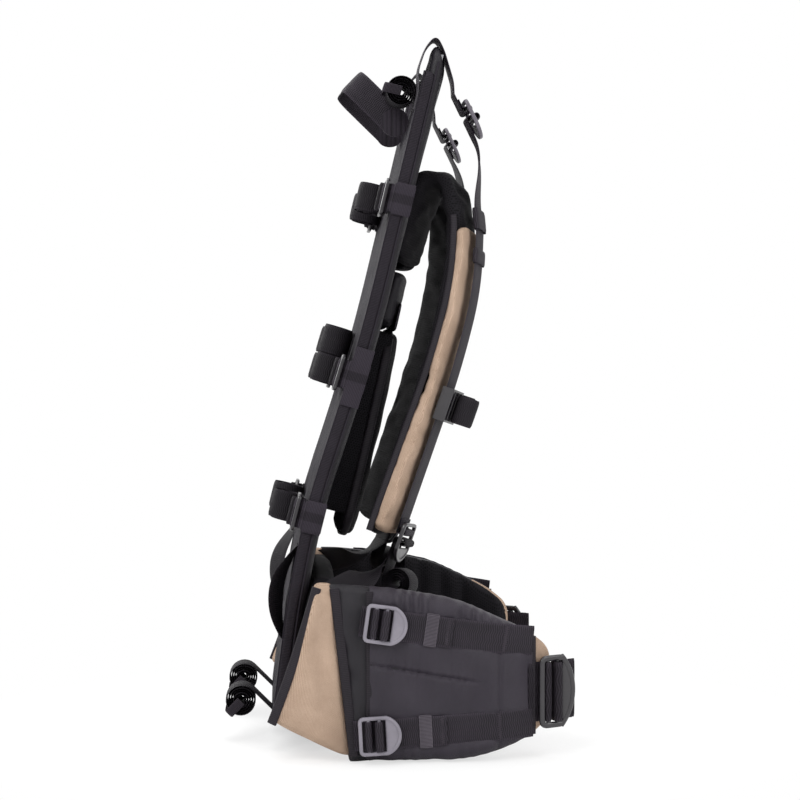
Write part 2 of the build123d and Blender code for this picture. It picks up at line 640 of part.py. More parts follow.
def belt_lock_frame():
    """Two-inch lock on the wing's straight end."""
    start = (BELT_BEND_X, -BELT_Y)
    end = (WING_END[0], -WING_END[1])
    along = unit(start, end)
    out = (along[1], -along[0])
    y = start[1] + (BELT_LOCK_X - start[0]) * along[1] / along[0]
    rise = BELT_T / 2 + LOCK_STAND
    origin = (BELT_LOCK_X + out[0] * rise, y + out[1] * rise, BELT_LOCK_Z)
    return lock_place(origin, (along[0], along[1], 0), (out[0], out[1], 0))


# ---------------------------------------------------------------- load straps on the frame

def frame_normal(z):
    """Rear point of the frame at height z and the direction straight out of its back."""
    for a, b in zip(FRAME_LINE, FRAME_LINE[1:]):
        if b[1] <= z <= a[1]:
            along = unit(a, b)
            return (line_x([a, b], z), z), (along[1], -along[0])
    raise ValueError("height outside the frame")


def side_frame(name):
    """Lock of a side strap: x inwards, z straight out of the frame's back."""
    point, normal = frame_normal(SIDE_STRAPS[name][0])
    y = LOCK_REAR + LOCK_WINDOW_REAR - FRAME_W / 2
    origin = (point[0] + normal[0] * SIDE_LOCK_STAND, y, point[1] + normal[1] * SIDE_LOCK_STAND)
    return lock_place(origin, (0, 1, 0), (normal[0], 0, normal[1]))


def side_tab(name):
    """Webbing tab round the frame's edge that carries the lock."""
    edge = LOCK_REAR + LOCK_WINDOW_REAR + CLEAR + WEB_T / 2
    front = -SIDE_LOCK_STAND - SLEEVE_FRONT
    path = [(-edge, front), (-edge, LEG_LOW)] + anchor_path(edge - TAB_SEAM)[1:]
    plate_h = SIDE_STRAPS[name][1]
    depth = LEG_LOW - WEB_T - front
    plate = Pos(-edge - WEB_T / 2 - TAB_T / 2, 0, front + depth / 2) * Box(TAB_T, plate_h, depth)
    return side_frame(name) * (webbing(path, WEB, LOOP_R) + plate)


def side_roll(name):
    """Strap through the lock's adjuster bar, its end rolled up past the nose."""
    reach = roll_reach(SIDE_TURNS)
    free = LOCK_LENGTH - LOCK_REAR + SIDE_PAST
    centre = free + reach + ROLL_T
    pieces = [webbing(threaded_path(free - SIDE_LEG, free), WEB)]
    for y in SIDE_ROLLS[name]:
        lead = centre - free - (SIDE_LOOSE if y else 0)
        pieces.append(roll((centre, y, LEG_HIGH + reach), (0, 0, -1), (-1, 0, 0), SIDE_TURNS, lead))
    return [side_frame(name) * piece for piece in pieces]


def make_load_rolls():
    """Rolled straps, one between handle and lifter, two at the bottom, and the elastic keepers round them."""
    point, normal = frame_normal(TOP_ROLL_Z)
    shift = roll_reach(TURNS) + ROLL_T / 2 + CLEAR
    between = (HANDLE_HALF + WEB_T / 2 + STAY_Y - WEB / 2) / 2
    top_centre = (point[0] + normal[0] * shift, -between, point[1] + normal[1] * shift)
    down = (normal[1], 0, -normal[0])
    if down[2] > 0:
        down = (-normal[1], 0, normal[0])
    inward = (-normal[0], 0, -normal[1])
    top = roll(top_centre, inward, down, TURNS, TOP_LEAD)
    slope = math.sqrt(0.5)
    rolls, keepers = [top], [roll_keeper(top_centre, inward)]
    for y in (-BOTTOM_ROLL_Y, BOTTOM_ROLL_Y):
        centre = (BOTTOM_ROLL[0], y, BOTTOM_ROLL[1])
        rolls.append(roll(centre, (slope, 0, slope), (slope, 0, -slope), TURNS, BOTTOM_LEAD))
        keepers.append(roll_keeper(centre, (slope, 0, slope)))
    return rolls, keepers


def roll_keeper(centre, out):
    """Elastic band round a roll's free side and over its ends; "out" points to what it is sewn to."""
    half = WEB / 2 + CLEAR
    free = roll_reach(TURNS) + ROLL_T / 2 + CLEAR + ROLL_KEEPER_T
    band = Pos(-free / 2, 0, 0) * Box(free, 2 * (half + ROLL_KEEPER_T), ROLL_KEEPER_W)
    room = Pos(FAR / 2 - free + ROLL_KEEPER_T, 0, 0) * Box(FAR, 2 * half, FAR)
    plane = Plane(origin=centre, x_dir=out, z_dir=(-out[2], 0, out[0]))
    return plane.location * (band - room)


def handle_pivot():
    """The loop swings about its rounded root, which clears the frame's back by half its width."""
    point, normal = frame_normal(HANDLE_Z)
    reach = WEB / 2 + CLEAR
    return point[0] + normal[0] * reach, point[1] + normal[1] * reach


def make_handle():
    """Loop of webbing that stands out of the frame's back; its width follows the side view."""
    angle = math.radians(HANDLE_ANGLE)
    x, z = handle_pivot()
    along = (math.cos(angle), 0, math.sin(angle))
    plane = Plane(origin=(x, 0, z), x_dir=along, z_dir=(along[2], 0, -along[0]))
    half = HANDLE_HALF
    path = [(0, -half), (HANDLE_REACH, -half), (HANDLE_REACH, half), (0, half)]
    loop = extrude(plane * strip(path, -WEB_T / 2, WEB_T / 2, HANDLE_R), WEB / 2, both=True)
    ends = [Pos(x, y, z) * Rot(90, 0, 0) * Cylinder(WEB / 2, WEB_T) for y in (-half, half)]
    return loop + ends


def make_back_loop():
    """Webbing sewn flat to the frame's back at both ends and slack between them."""
    lift = CLEAR + WEB_T / 2
    top, low = (line_x(FRAME_LINE, LOOP_TOP) - lift, LOOP_TOP), (line_x(FRAME_LINE, LOOP_LOW) - lift, LOOP_LOW)
    return Pos(0, LOOP_Y, 0) * webbing([top] + LOOP_BULGE + [low], WEB)


# ---------------------------------------------------------------- load lifters

def lifter_frame():
    angle = math.radians(LIFTER_LOCK_ANGLE)
    return LIFTER_LOCK, (math.cos(angle), math.sin(angle)), (-math.sin(angle), math.cos(angle))


def make_lifter(rail_top, rail_run, rail_across):
    """Strap from behind the stay's top over it to the lock, and from the lock to the rail's top."""
    origin, along, out = lifter_frame()
    lift = (CLEAR + WEB_T / 2) / abs(frame_normal(LIFTER_LOW)[1][0])
    rear = [(line_x(FRAME_LINE, z) - lift, z) for z in (LIFTER_LOW, FRAME_TOP)]
    anchor = [(-LIFTER_LEAD, LEG_LOW)] + anchor_path(ANCHOR_LEG)[1:]
    upper = webbing(rear + LIFTER_OVER + in_side(origin, along, out, anchor), WEB)
    loop = webbing(in_side(origin, along, out, threaded_path(STRAP_LOADED, LIFTER_FREE)), WEB)
    begin = in_side(origin, along, out, [(STRAP_LOADED, LEG_LOW)])[0]
    first = (along[0], 0, along[1])
    lower = ribbon((begin[0], LIFTER_Y, begin[1]), first, (0, 1, 0), rail_top, rail_run, rail_across)
    return [Pos(0, LIFTER_Y, 0) * upper, Pos(0, LIFTER_Y, 0) * loop, lower]


# ---------------------------------------------------------------- assembly

nodes = make_frame()
nodes.update(make_stays())
nodes["back_pad"] = make_back_pad()
nodes.update(make_yoke())
lumbar, panel = make_base()
nodes["lumbar_pad"] = lumbar
nodes["base_panels"] = [panel, left_of(panel)]


def add_pair(name, solids):
    """Right and left node of one kind of piece."""
    solids = solids if isinstance(solids, list) else [solids]
    nodes["right_" + name] = solids
    nodes["left_" + name] = [left_of(solid) for solid in solids]


place = strap_place()
pad, cover, rail = [place * piece for piece in make_strap()]
add_pair("shoulder_pad", pad - frame_layer(-FAR / 4, SLEEVE_FRONT + CLEAR, 2 * FAR))
add_pair("shoulder_cover", cover)
nodes["webbing_rails"] = [rail, left_of(rail)]
slider, sternum = [place * slider_place().location * piece for piece in make_slider()]
add_pair("sternum_slider", slider)
add_pair("sternum_strap", sternum)
lower_lock, lower_webbing = make_strap_lower()
add_pair("shoulder_lock", place * lower_lock * ladder_lock(WEB, LOCK_RIM))
lower = [place * piece for piece in lower_webbing] + [base_strap(place * lower_lock)]
nodes["lower_strap_webbing"] = lower + [left_of(piece) for piece in lower]

wing, wing_cover = make_wing()
add_pair("wing_pad", wing)
add_pair("wing_cover", wing_cover)
add_pair("wing_webbing", row_webbing("upper") + row_webbing("lower"))
add_pair("wing_keepers", [row_keeper(name) for name in ROWS])
for name in ROWS:
    add_pair("wing_lock_" + name, row_frame(name) * ladder_lock(WEB, LOCK_RIM))
add_pair("belt_webbing", belt_lock_frame() * webbing(anchor_path(BELT_LEG), BELT_WEB))
add_pair("belt_tail", belt_lock_frame() * webbing(threaded_path(BELT_TAIL, BELT_TAIL - 3), BELT_WEB))
add_pair("belt_lock", belt_lock_frame() * ladder_lock(BELT_WEB, BELT_LOCK_RIM))

tabs = [side_tab(name) for name in SIDE_STRAPS]
nodes["side_strap_tabs"] = tabs + [left_of(tab) for tab in tabs]
for name in SIDE_STRAPS:
    add_pair("side_lock_" + name, side_frame(name) * ladder_lock(WEB, LOCK_RIM))
    add_pair("side_strap_" + name, side_roll(name))
nodes["load_strap_rolls"], nodes["elastic_keepers"] = make_load_rolls()
nodes["grab_handle"] = make_handle()

nodes["back_loops"] = [make_back_loop(), left_of(make_back_loop())]
rail_end = rail.faces().sort_by(Axis.Z)[-1]
strap_across = (place * Pos(0, 1, 0)).position - place.position
lifter = make_lifter(rail_end.center(), -rail_end.normal_at(), strap_across)
nodes["lifter_webbing"] = lifter + [left_of(piece) for piece in lifter]
origin, along, out = lifter_frame()
lifter_lock = lock_place((origin[0], LIFTER_Y, origin[1]), (along[0], 0, along[1]), (out[0], 0, out[1]))
add_pair("lifter_lock", lifter_lock * ladder_lock(WEB, LOCK_RIM))

# The origin is the middle of the footprint box, on the floor.
bodies = {}
for name, piece in nodes.items():
    solids = piece if isinstance(piece, list) else [piece]
    flat = [solid for part in solids for solid in part.solids()]
    bodies[name] = Compound(children=flat) if len(flat) > 1 else flat[0]
boxes = [body.bounding_box() for body in bodies.values()]
low = [min(tuple(box.min)[k] for box in boxes) for k in range(3)]
high = [max(tuple(box.max)[k] for box in boxes) for k in range(3)]
shift = (-(low[0] + high[0]) / 2, -(low[1] + high[1]) / 2, -low[2])

os.makedirs("parts", exist_ok=True)
for name, body in bodies.items():
    export_step(body.moved(Location(shift)), "parts/" + name + ".step")
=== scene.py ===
import math

import bmesh
import bpy
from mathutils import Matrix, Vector
import numpy as np


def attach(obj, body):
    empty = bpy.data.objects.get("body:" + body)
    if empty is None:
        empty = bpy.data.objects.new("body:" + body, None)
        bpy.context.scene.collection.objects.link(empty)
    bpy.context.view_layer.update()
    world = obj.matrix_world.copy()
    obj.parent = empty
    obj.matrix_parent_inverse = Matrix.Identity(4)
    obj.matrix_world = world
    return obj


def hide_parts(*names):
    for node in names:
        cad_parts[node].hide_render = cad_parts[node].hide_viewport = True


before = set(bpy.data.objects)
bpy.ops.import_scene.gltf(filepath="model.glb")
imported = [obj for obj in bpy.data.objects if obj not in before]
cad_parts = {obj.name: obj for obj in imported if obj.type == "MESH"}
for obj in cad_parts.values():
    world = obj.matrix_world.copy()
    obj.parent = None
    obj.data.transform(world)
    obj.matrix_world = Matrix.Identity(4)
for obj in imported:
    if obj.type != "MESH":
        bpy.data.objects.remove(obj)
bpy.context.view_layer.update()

# ============================================================ tools, and the rear panel of the frame
# The functions that the later pieces share stand here too. One panel of dark pack cloth is stretched
# over a stiff plastic sheet. Its edge is closed by a ribbed tape folded round it and sewn, with a thin
# piping beside the tape. Sizes are millimetres of the drawing: X to the front, Y to the wearer's left,
# Z up.

DRAWING_TO_PART = np.array((9.833, 0, 0))
FRAME_LINE = [(20, 611), (-42, 352), (-88, 212), (-104, 133), (-118, 24)]
FRAME_HALF = 112
FRAME_LOW = 24
ONE_INCH, TWO_INCH = 25.4, 50.8
PANEL_TOP = [(0, 560), (54, 560), (63, 572), (74, 587), (91, 592), (112, 588)]


def soft_line(points, reach=1000, step=4.0):
    """Line through the points with each corner cut by a parabola that starts at most "reach" before it;
    the whole is then spaced evenly, about a step apart."""
    points = np.array(points, float)
    runs = np.diff(points, axis=0)
    length = np.linalg.norm(runs, axis=1)
    cut = np.minimum(reach, 0.48 * np.minimum(length[:-1], length[1:]))[:, None]
    run = runs / length[:, None]
    enter, leave = points[1:-1] - run[:-1] * cut, points[1:-1] + run[1:] * cut
    t = np.linspace(0, 1, 15)[None, :, None]
    bends = enter[:, None] * (1 - t) ** 2 + points[1:-1, None] * (2 * t * (1 - t)) + leave[:, None] * t**2
    return spaced(np.concatenate([points[:1], bends.reshape(-1, points.shape[1]), points[-1:]]), step)


def spaced(line, step):
    """The same line with points evenly spaced along it."""
    travel = travelled(line)
    count = max(2, round(travel[-1] / step) + 1)
    at = np.linspace(0, travel[-1], count)
    return np.stack([np.interp(at, travel, axis) for axis in line.T], axis=1)


def travelled(line):
    """Distance along the line of each of its points."""
    return np.concatenate([[0], np.cumsum(np.linalg.norm(np.diff(line, axis=0), axis=1))])


def in_side_view(points, y):
    """Points (X, Z) set at one Y."""
    points = np.asarray(points, float)
    return spots(points[:, 0], float(y), points[:, 1])


def directions(line):
    """Unit tangent at each point, from the points on both sides of it."""
    tangent = np.gradient(line, axis=0)
    return tangent / np.linalg.norm(tangent, axis=1, keepdims=True)


def carry(line, across, outline, closed=False, grow=None, wrapped=0.0):
    """Outline (across, out) carried along a line: point = line + across * u + out * v, where out is
    across x tangent. "grow" scales the outline at each point of the line; "wrapped" adds that share of v
    to the texture's place across, so that cloth also lies right on thick sides. Fans close the ends."""
    if closed:
        ring = np.concatenate([line[-2:-1], line, line[1:2]])
        tangent = directions(ring)[1:-1]
    else:
        tangent = directions(line)
    across = np.broadcast_to(np.asarray(across, float), line.shape)
    across = across - tangent * np.sum(across * tangent, axis=1, keepdims=True)
    across = across / np.linalg.norm(across, axis=1, keepdims=True)
    out = np.cross(across, tangent)
    outline = np.broadcast_to(np.asarray(outline, float), (len(line),) + np.shape(outline)[-2:])
    if grow is not None:
        outline = outline * np.asarray(grow, float).reshape(len(line), 1, -1)
    grid = line[:, None] + across[:, None] * outline[..., :1] + out[:, None] * outline[..., 1:]
    along = np.broadcast_to(travelled(line)[:, None], grid.shape[:2])
    return shell(grid, np.stack([outline[..., 0] + wrapped * outline[..., 1], along], axis=-1),
                 ends=not closed)


def shell(grid, chart, wrap=True, ends=True):
    """Quads between neighbours of a grid of points (along, around), with the chart as texture places.
    wrap joins the last column to the first, ends closes both end rings by fans to their middles."""
    rows, cols = grid.shape[:2]
    index = np.arange(rows * cols).reshape(rows, cols)
    right = np.roll(index, -1, axis=1) if wrap else index[:, 1:]
    left = index if wrap else index[:, :-1]
    quads = np.stack([left[:-1], right[:-1], right[1:], left[1:]], axis=-1).reshape(-1, 4)
    points, places = grid.reshape(-1, 3), chart.reshape(-1, 2)
    fans = []
    if ends and wrap:
        for ring, order in ((index[0], 1), (index[-1], -1)):
            middle = len(points)
            points = np.concatenate([points, points[ring].mean(axis=0, keepdims=True)])
            places = np.concatenate([places, places[ring].mean(axis=0, keepdims=True)])
            fan = np.stack([ring, np.full(cols, middle), np.roll(ring, -1)], axis=-1)
            fans.append(fan[:, ::order])
    triangles = np.concatenate(fans) if fans else np.zeros((0, 3), int)
    if wrap and ends:
        a, b, c, d = (points[quads[:, k]] for k in range(4))
        volume = np.einsum("ij,ij->", a, np.cross(b, c) + np.cross(c, d))
        e, f, g = (points[triangles[:, k]] for k in range(3))
        if volume + np.einsum("ij,ij->", e, np.cross(f, g)) < 0:
            quads, triangles = quads[:, ::-1], triangles[:, ::-1]
    return points, places, quads, triangles


def joined(shells):
    """Several shells as one."""
    base = np.cumsum([0] + [len(part[0]) for part in shells])
    return (np.concatenate([part[0] for part in shells]), np.concatenate([part[1] for part in shells]),
            np.concatenate([part[2] + k for part, k in zip(shells, base)]),
            np.concatenate([part[3] + k for part, k in zip(shells, base)]))


def other_side(part):
    """The same shells on the wearer's left: Y turned round, and every face with it."""
    points, places, quads, triangles = part
    return points * (1, -1, 1), places, quads[:, ::-1], triangles[:, ::-1]


def placed(part, place):
    """Shells with their points moved by a placing function; a turned shell keeps its faces."""
    return (place(part[0]),) + tuple(part[1:])


SIDES = (("right", lambda part: part), ("left", other_side))


def both_sides(parts):
    """The right-hand shells and their mirror copies."""
    return parts + [other_side(part) for part in parts]


def piece(name, shells, finish, body, nodes=(), smooth=50, level=0):
    """Mesh object of the shells, in metres of the part, with its finish, its body and the nodes it shows.
    smooth is the sharpest angle that is shaded round, level the subdivisions that finish it."""
    points, places, quads, triangles = joined(shells if isinstance(shells, list) else [shells])
    mesh = bpy.data.meshes.new(name)
    mesh.from_pydata(((points + DRAWING_TO_PART) / 1000).tolist(), [], quads.tolist() + triangles.tolist())
    corners = np.concatenate([quads.reshape(-1), triangles.reshape(-1)])
    chart = mesh.uv_layers.new(name="cloth")
    chart.data.foreach_set("uv", (places[corners] / 1000).astype(np.float32).reshape(-1))
    mesh.materials.append(finish)
    made = bpy.data.objects.new(name, mesh)
    bpy.context.collection.objects.link(made)
    if level:
        finer = made.modifiers.new("finer", "SUBSURF")
        finer.levels = finer.render_levels = level
        finer.uv_smooth = "PRESERVE_BOUNDARIES"
    mesh.shade_smooth()
    mesh.set_sharp_from_angle(angle=math.radians(smooth))
    if nodes:
        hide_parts(*nodes)
    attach(made, body)
    return made


def superellipse(wide, thick, power=2.6, count=28):
    """Closed outline |u/a|^p + |v/b|^p = 1, spaced evenly along itself."""
    angle = np.linspace(0, 2 * np.pi, 721)
    u = wide / 2 * np.sign(np.cos(angle)) * np.abs(np.cos(angle)) ** (2 / power)
    v = thick / 2 * np.sign(np.sin(angle)) * np.abs(np.sin(angle)) ** (2 / power)
    line = np.stack([u, v], axis=1)
    travel = travelled(line)
    at = np.linspace(0, travel[-1], count, endpoint=False)
    return np.stack([np.interp(at, travel, axis) for axis in line.T], axis=1)


def uneven(points, size, seed=1):
    """Soft uneven field between about -1 and 1: the mean of nine sine waves of nearly one length in
    scattered directions."""
    scatter = np.random.default_rng(seed)
    wave = scatter.normal(size=(9, 3))
    wave *= (2 * np.pi / size * scatter.uniform(0.6, 1.5, 9) / np.linalg.norm(wave, axis=1))[:, None]
    return np.sin(points @ wave.T + scatter.uniform(0, 6.3, 9)).mean(axis=-1) * 2


def spots(*axes):
    """Points whose coordinates are the given arrays."""
    return np.stack(np.broadcast_arrays(*axes), axis=-1)


def frame_rear(z):
    """X of the frame's rear line at height z."""
    line = soft_line(FRAME_LINE)[::-1]
    return np.interp(z, line[:, 1], line[:, 0])


def frame_out(z):
    """Direction straight out of the frame's front at height z."""
    slope = (frame_rear(np.asarray(z) + 2) - frame_rear(np.asarray(z) - 2)) / 4
    out = np.stack([np.ones_like(slope), np.zeros_like(slope), -slope], axis=-1)
    return out / np.linalg.norm(out, axis=-1, keepdims=True)


def on_frame(y, z, front=0.0):
    """Points at Y and height z, a distance in front of the frame's rear line."""
    y, z = np.broadcast_arrays(np.asarray(y, float), np.asarray(z, float))
    return spots(frame_rear(z), y, z) + frame_out(z) * np.asarray(front, float)[..., None]


def node(tree, kind, *inputs, out=0, **settings):
    """Adds one node, wires or sets its inputs in order, and returns its output."""
    made = tree.nodes.new("ShaderNode" + kind)
    for key, value in settings.items():
        setattr(made, key, value)
    for socket, value in zip(made.inputs, inputs):
        if isinstance(value, bpy.types.NodeSocket):
            tree.links.new(value, socket)
        elif value is not None:
            socket.default_value = value
    return made.outputs[out]


def calc(tree, operation, a, b=0.0):
    """Result of one step of arithmetic."""
    return node(tree, "Math", a, b, operation=operation)


def weighted(tree, *terms):
    """Sum of values, each times its weight."""
    total = None
    for value, weight in terms:
        term = calc(tree, "MULTIPLY", value, weight)
        total = term if total is None else calc(tree, "ADD", total, term)
    return total


def mixed(tree, share, first, second):
    """Colour between two others; first and second are sRGB numbers of 0 to 255 or an output."""
    made = tree.nodes.new("ShaderNodeMix")
    made.data_type = "RGBA"
    for socket, value in ((made.inputs[0], share), (made.inputs[6], first), (made.inputs[7], second)):
        if isinstance(value, bpy.types.NodeSocket):
            tree.links.new(value, socket)
        else:
            socket.default_value = value if isinstance(value, (int, float)) else linear(value)
    return made.outputs[2]


def linear(colour):
    """sRGB numbers of 0 to 255 as linear colour."""
    share = np.array(colour, float) / 255
    return (*np.where(share < 0.04045, share / 12.92, ((share + 0.055) / 1.055) ** 2.4).tolist(), 1.0)


def finished(name, colour, bump, depth, rough, **constants):
    """Material from a function for its colour and its height; depth is the height's size in millimetres."""
    material = bpy.data.materials.new(name)
    material.use_nodes = True
    tree = material.node_tree
    shader = tree.nodes["Principled BSDF"]
    shader.inputs["Specular IOR Level"].default_value = 0.12
    for key, value in constants.items():
        shader.inputs[key.replace("_", " ")].default_value = value
    tree.links.new(colour(tree), shader.inputs["Base Color"])
    tree.links.new(rough(tree), shader.inputs["Roughness"])
    relief = node(tree, "Bump", 1.0, depth / 1000, None, bump(tree))
    tree.links.new(relief, shader.inputs["Normal"])
    return material


def cloth_place(tree):
    """Across and along places of the piece's own cloth, in millimetres."""
    split = tree.nodes.new("ShaderNodeSeparateXYZ")
    tree.links.new(node(tree, "UVMap", uv_map="cloth"), split.inputs[0])
    return [calc(tree, "MULTIPLY", split.outputs[k], 1000.0) for k in (0, 1)]


def body_place(tree):
    """Object coordinates in millimetres."""
    place = tree.nodes.new("ShaderNodeTexCoord").outputs["Object"]
    return node(tree, "VectorMath", place, (1000.0, 1000.0, 1000.0), operation="MULTIPLY")


def cloud(tree, size, detail=3.0):
    """Noise of 0 to 1 whose patches are about "size" millimetres."""
    return node(tree, "TexNoise", body_place(tree), None, 1.0 / size, detail, 0.6)


def patchy(level, size, share):
    """Roughness that rises from a level by up to a share, in soft patches."""
    return lambda tree: calc(tree, "ADD", level, calc(tree, "MULTIPLY", cloud(tree, size), share))


def between(tree, value, low, high):
    """0 below low, 1 above high and straight between."""
    return node(tree, "MapRange", value, low, high, 0.0, 1.0, clamp=True)


def woven(name, dark, light, thread, depth, rough, worn=0.25, **constants):
    """Plain-woven cloth: warp and weft threads are sine ridges, and a checker says which one is on top."""
    def threads(tree):
        u, v = cloth_place(tree)
        turn = [calc(tree, "SINE", calc(tree, "MULTIPLY", k, math.pi / thread)) for k in (u, v)]
        over = between(tree, calc(tree, "MULTIPLY", *turn), -0.12, 0.12)
        ridge = [calc(tree, "ABSOLUTE", k) for k in turn]
        top = calc(tree, "MULTIPLY", ridge[0], over)
        return calc(tree, "ADD", top, calc(tree, "MULTIPLY", ridge[1], calc(tree, "SUBTRACT", 1.0, over)))

    def colour(tree):
        share = weighted(tree, (threads(tree), 0.6), (cloud(tree, 0.9), 0.35),
                         (calc(tree, "SUBTRACT", cloud(tree, 35), 0.5), worn * 2))
        return mixed(tree, share, dark, light)

    def height(tree):
        return calc(tree, "ADD", threads(tree), calc(tree, "MULTIPLY", cloud(tree, 1.7), 0.5))

    return finished(name, colour, height, depth, patchy(rough, 22, 0.12), **constants)


def ribbed(name, dark, light, pitch, slant, depth, rough, width=ONE_INCH, **constants):
    """Webbing or tape: ribs run across it at one pitch and turn back at the middle of each band, and
    its two selvedges are rounder and a little lighter."""
    def ribs(tree):
        u, v = cloth_place(tree)
        zigzag = calc(tree, "PINGPONG", calc(tree, "ADD", u, 100.0), width / 6)
        phase = calc(tree, "ADD", calc(tree, "MULTIPLY", v, 2 * math.pi / pitch),
                     calc(tree, "MULTIPLY", zigzag, slant))
        return calc(tree, "ADD", calc(tree, "MULTIPLY", calc(tree, "SINE", phase), 0.5), 0.5)

    def edge(tree):
        return between(tree, calc(tree, "ABSOLUTE", cloth_place(tree)[0]), width * 0.40, width * 0.5)

    def colour(tree):
        share = weighted(tree, (ribs(tree), 0.6), (cloud(tree, 1.6), 0.16), (edge(tree), 0.35),
                         (calc(tree, "SUBTRACT", cloud(tree, 30), 0.5), 0.4))
        return mixed(tree, share, dark, light)

    def height(tree):
        return calc(tree, "ADD", ribs(tree), calc(tree, "MULTIPLY", cloud(tree, 2.0), 0.25))

    return finished(name, colour, height, depth, patchy(rough, 18, 0.14), **constants)


PACK_CLOTH = woven("black_pack_cloth", (16, 14, 18), (44, 40, 47), thread=0.55, depth=0.10, rough=0.66)
EDGE_TAPE = ribbed("edge_tape", (12, 10, 13), (50, 45, 53), pitch=1.35, slant=0.8, depth=0.2, rough=0.6,
                   width=9)
PIPING = woven("piping_cloth", (14, 12, 16), (44, 40, 47), thread=0.5, depth=0.06, rough=0.55)

panel_y = np.linspace(-FRAME_HALF + 0.8, FRAME_HALF - 0.8, 81)
top_y, top_z = np.array(PANEL_TOP, float).T
panel_top = np.interp(np.abs(panel_y), top_y, top_z) - 0.5
share = np.linspace(0, 1, 141)[:, None]
panel_z = FRAME_LOW + 1 + (panel_top - FRAME_LOW - 1) * share
panel = on_frame(np.broadcast_to(panel_y, panel_z.shape), panel_z)
edge_fade = (np.clip((FRAME_HALF - np.abs(panel[..., 1])) / 25, 0, 1)
             * np.clip((panel[..., 2] - FRAME_LOW) / 40, 0, 1))
sag = (uneven(panel * (1, 1.6, 0.5), 70, 3) * 1.1 + uneven(panel * (1, 2.5, 0.8), 26, 4) * 0.35) * edge_fade
panel = panel - frame_out(panel[..., 2]) * (0.6 + sag)[..., None]
rear_panel = piece("rear_panel_cloth",
                   shell(panel, np.stack([panel[..., 1], panel[..., 2]], -1), wrap=False),
                   PACK_CLOTH, "frame", ["frame_cover"])
wall = rear_panel.modifiers.new("wall", "SOLIDIFY")
wall.thickness, wall.offset = 0.0011, 0

TAPE_IN = 1.8
half_edge = [(-FRAME_HALF + TAPE_IN, FRAME_LOW + TAPE_IN)]
half_edge += [(-y + (TAPE_IN if y == FRAME_HALF else 0), z - TAPE_IN) for y, z in PANEL_TOP[::-1]]
foot = (0, FRAME_LOW + TAPE_IN)
round_edge = [foot] + half_edge + [(-y, z) for y, z in half_edge[-2::-1]] + [foot]
round_edge = soft_line(round_edge, 7, 2.5)
tape_line = on_frame(round_edge[:, 0], round_edge[:, 1], 3.9)
tape_across = frame_out(round_edge[:, 1])
piece("edge_tape", carry(tape_line, tape_across, superellipse(8.6, 4.4, 2.8), closed=True), EDGE_TAPE,
      "frame")
pipe_z = np.linspace(FRAME_LOW + 3, 598, 200)
pipes = [carry(on_frame(sign * 109.6, pipe_z, 9.4), (0, 1, 0), superellipse(2.6, 2.6, 2, 10))
         for sign in (-1, 1)]
piece("edge_piping", pipes, PIPING, "frame")

# ============================================================ plastic sheet, stays and their sleeves
# A stiff sheet of dark plastic fills the frame. Two metal stays run down its front in padded nylon
# sleeves, whose tops are gathered and sewn under the lifter straps.

def moulded(name, dark, light, grain, depth, rough, **constants):
    """Moulded plastic: fine grain, soft patches of wear and slightly uneven gloss."""
    def colour(tree):
        share = weighted(tree, (cloud(tree, 14), 0.7), (cloud(tree, grain), 0.3))
        return mixed(tree, share, dark, light)
    return finished(name, colour, lambda tree: cloud(tree, grain, 5.0), depth,
                    patchy(rough, 9, 0.16), **constants)


SHEET_PLASTIC = moulded("sheet_plastic", (18, 18, 20), (38, 36, 40), grain=0.6, depth=0.05, rough=0.45)
STAY_METAL = moulded("stay_metal", (120, 120, 124), (165, 165, 168), grain=0.25, depth=0.02, rough=0.28,
                     Metallic=0.9)
NYLON = woven("smooth_black_nylon", (10, 9, 12), (34, 31, 37), thread=0.45, depth=0.07, rough=0.42,
              Specular_IOR_Level=0.26)
for name, finish in (("frame_sheet", SHEET_PLASTIC), ("stays", STAY_METAL)):
    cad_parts[name].data.materials.clear()
    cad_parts[name].data.materials.append(finish)

STAY_Y = 91
SLEEVE_MID = 10.3
SLEEVE_LOW, SLEEVE_TOP = 43, 612


def closing(line, radius):
    """At each point of a line the share of its full size: a quarter of a superellipse at each end."""
    travel = travelled(line)
    share = np.clip(np.minimum(travel, travel[-1] - travel) / radius, 0, 1)
    return np.maximum((1 - (1 - share) ** 2.4) ** (1 / 2.4), 0.04)


def padding(line, across, wide, thick, relief, corner, edge, power, count, drift=0.0):
    """Closed stuffed piece: a superellipse section carried along a line. Near each end its width closes
    over "corner" and its thickness over "edge", each along a quarter of a superellipse. relief(s, u, v)
    moves a point outwards along the section's thickness, and drift moves a whole section across."""
    travel = travelled(line)
    grow = np.stack([np.broadcast_to(wide, travel.shape) / 2 * closing(line, corner),
                     np.broadcast_to(thick, travel.shape) / 2 * closing(line, edge)], axis=-1)
    form = superellipse(2 * np.max(grow[:, 0]), 2 * np.max(grow[:, 1]), power, count)
    form = form / np.abs(form).max(axis=0)
    outline = form[None] * grow[:, None]
    weight = np.abs(form[:, 1]) ** 0.5 * np.sign(form[:, 1])
    lift = relief(travel[:, None], outline[..., 0], form[:, 1][None]) * weight
    lift = lift * closing(line, edge)[:, None]
    outline = outline + spots(0.0, lift)
    outline[..., 0] += np.broadcast_to(drift, travel.shape)[:, None]
    return carry(line, across, outline, wrapped=1.0)


def ends_denser(line, step, end):
    """Points a step apart along the line, and closer towards both ends, where a pad rounds off."""
    travel = travelled(line)
    near = end * (1 - np.cos(np.linspace(0, np.pi / 2, 8)))[:-1]
    middle = np.linspace(end, travel[-1] - end, max(2, round((travel[-1] - 2 * end) / step)))
    at = np.concatenate([near, middle, (travel[-1] - near)[::-1]])
    return np.stack([np.interp(at, travel, axis) for axis in line.T], axis=1)


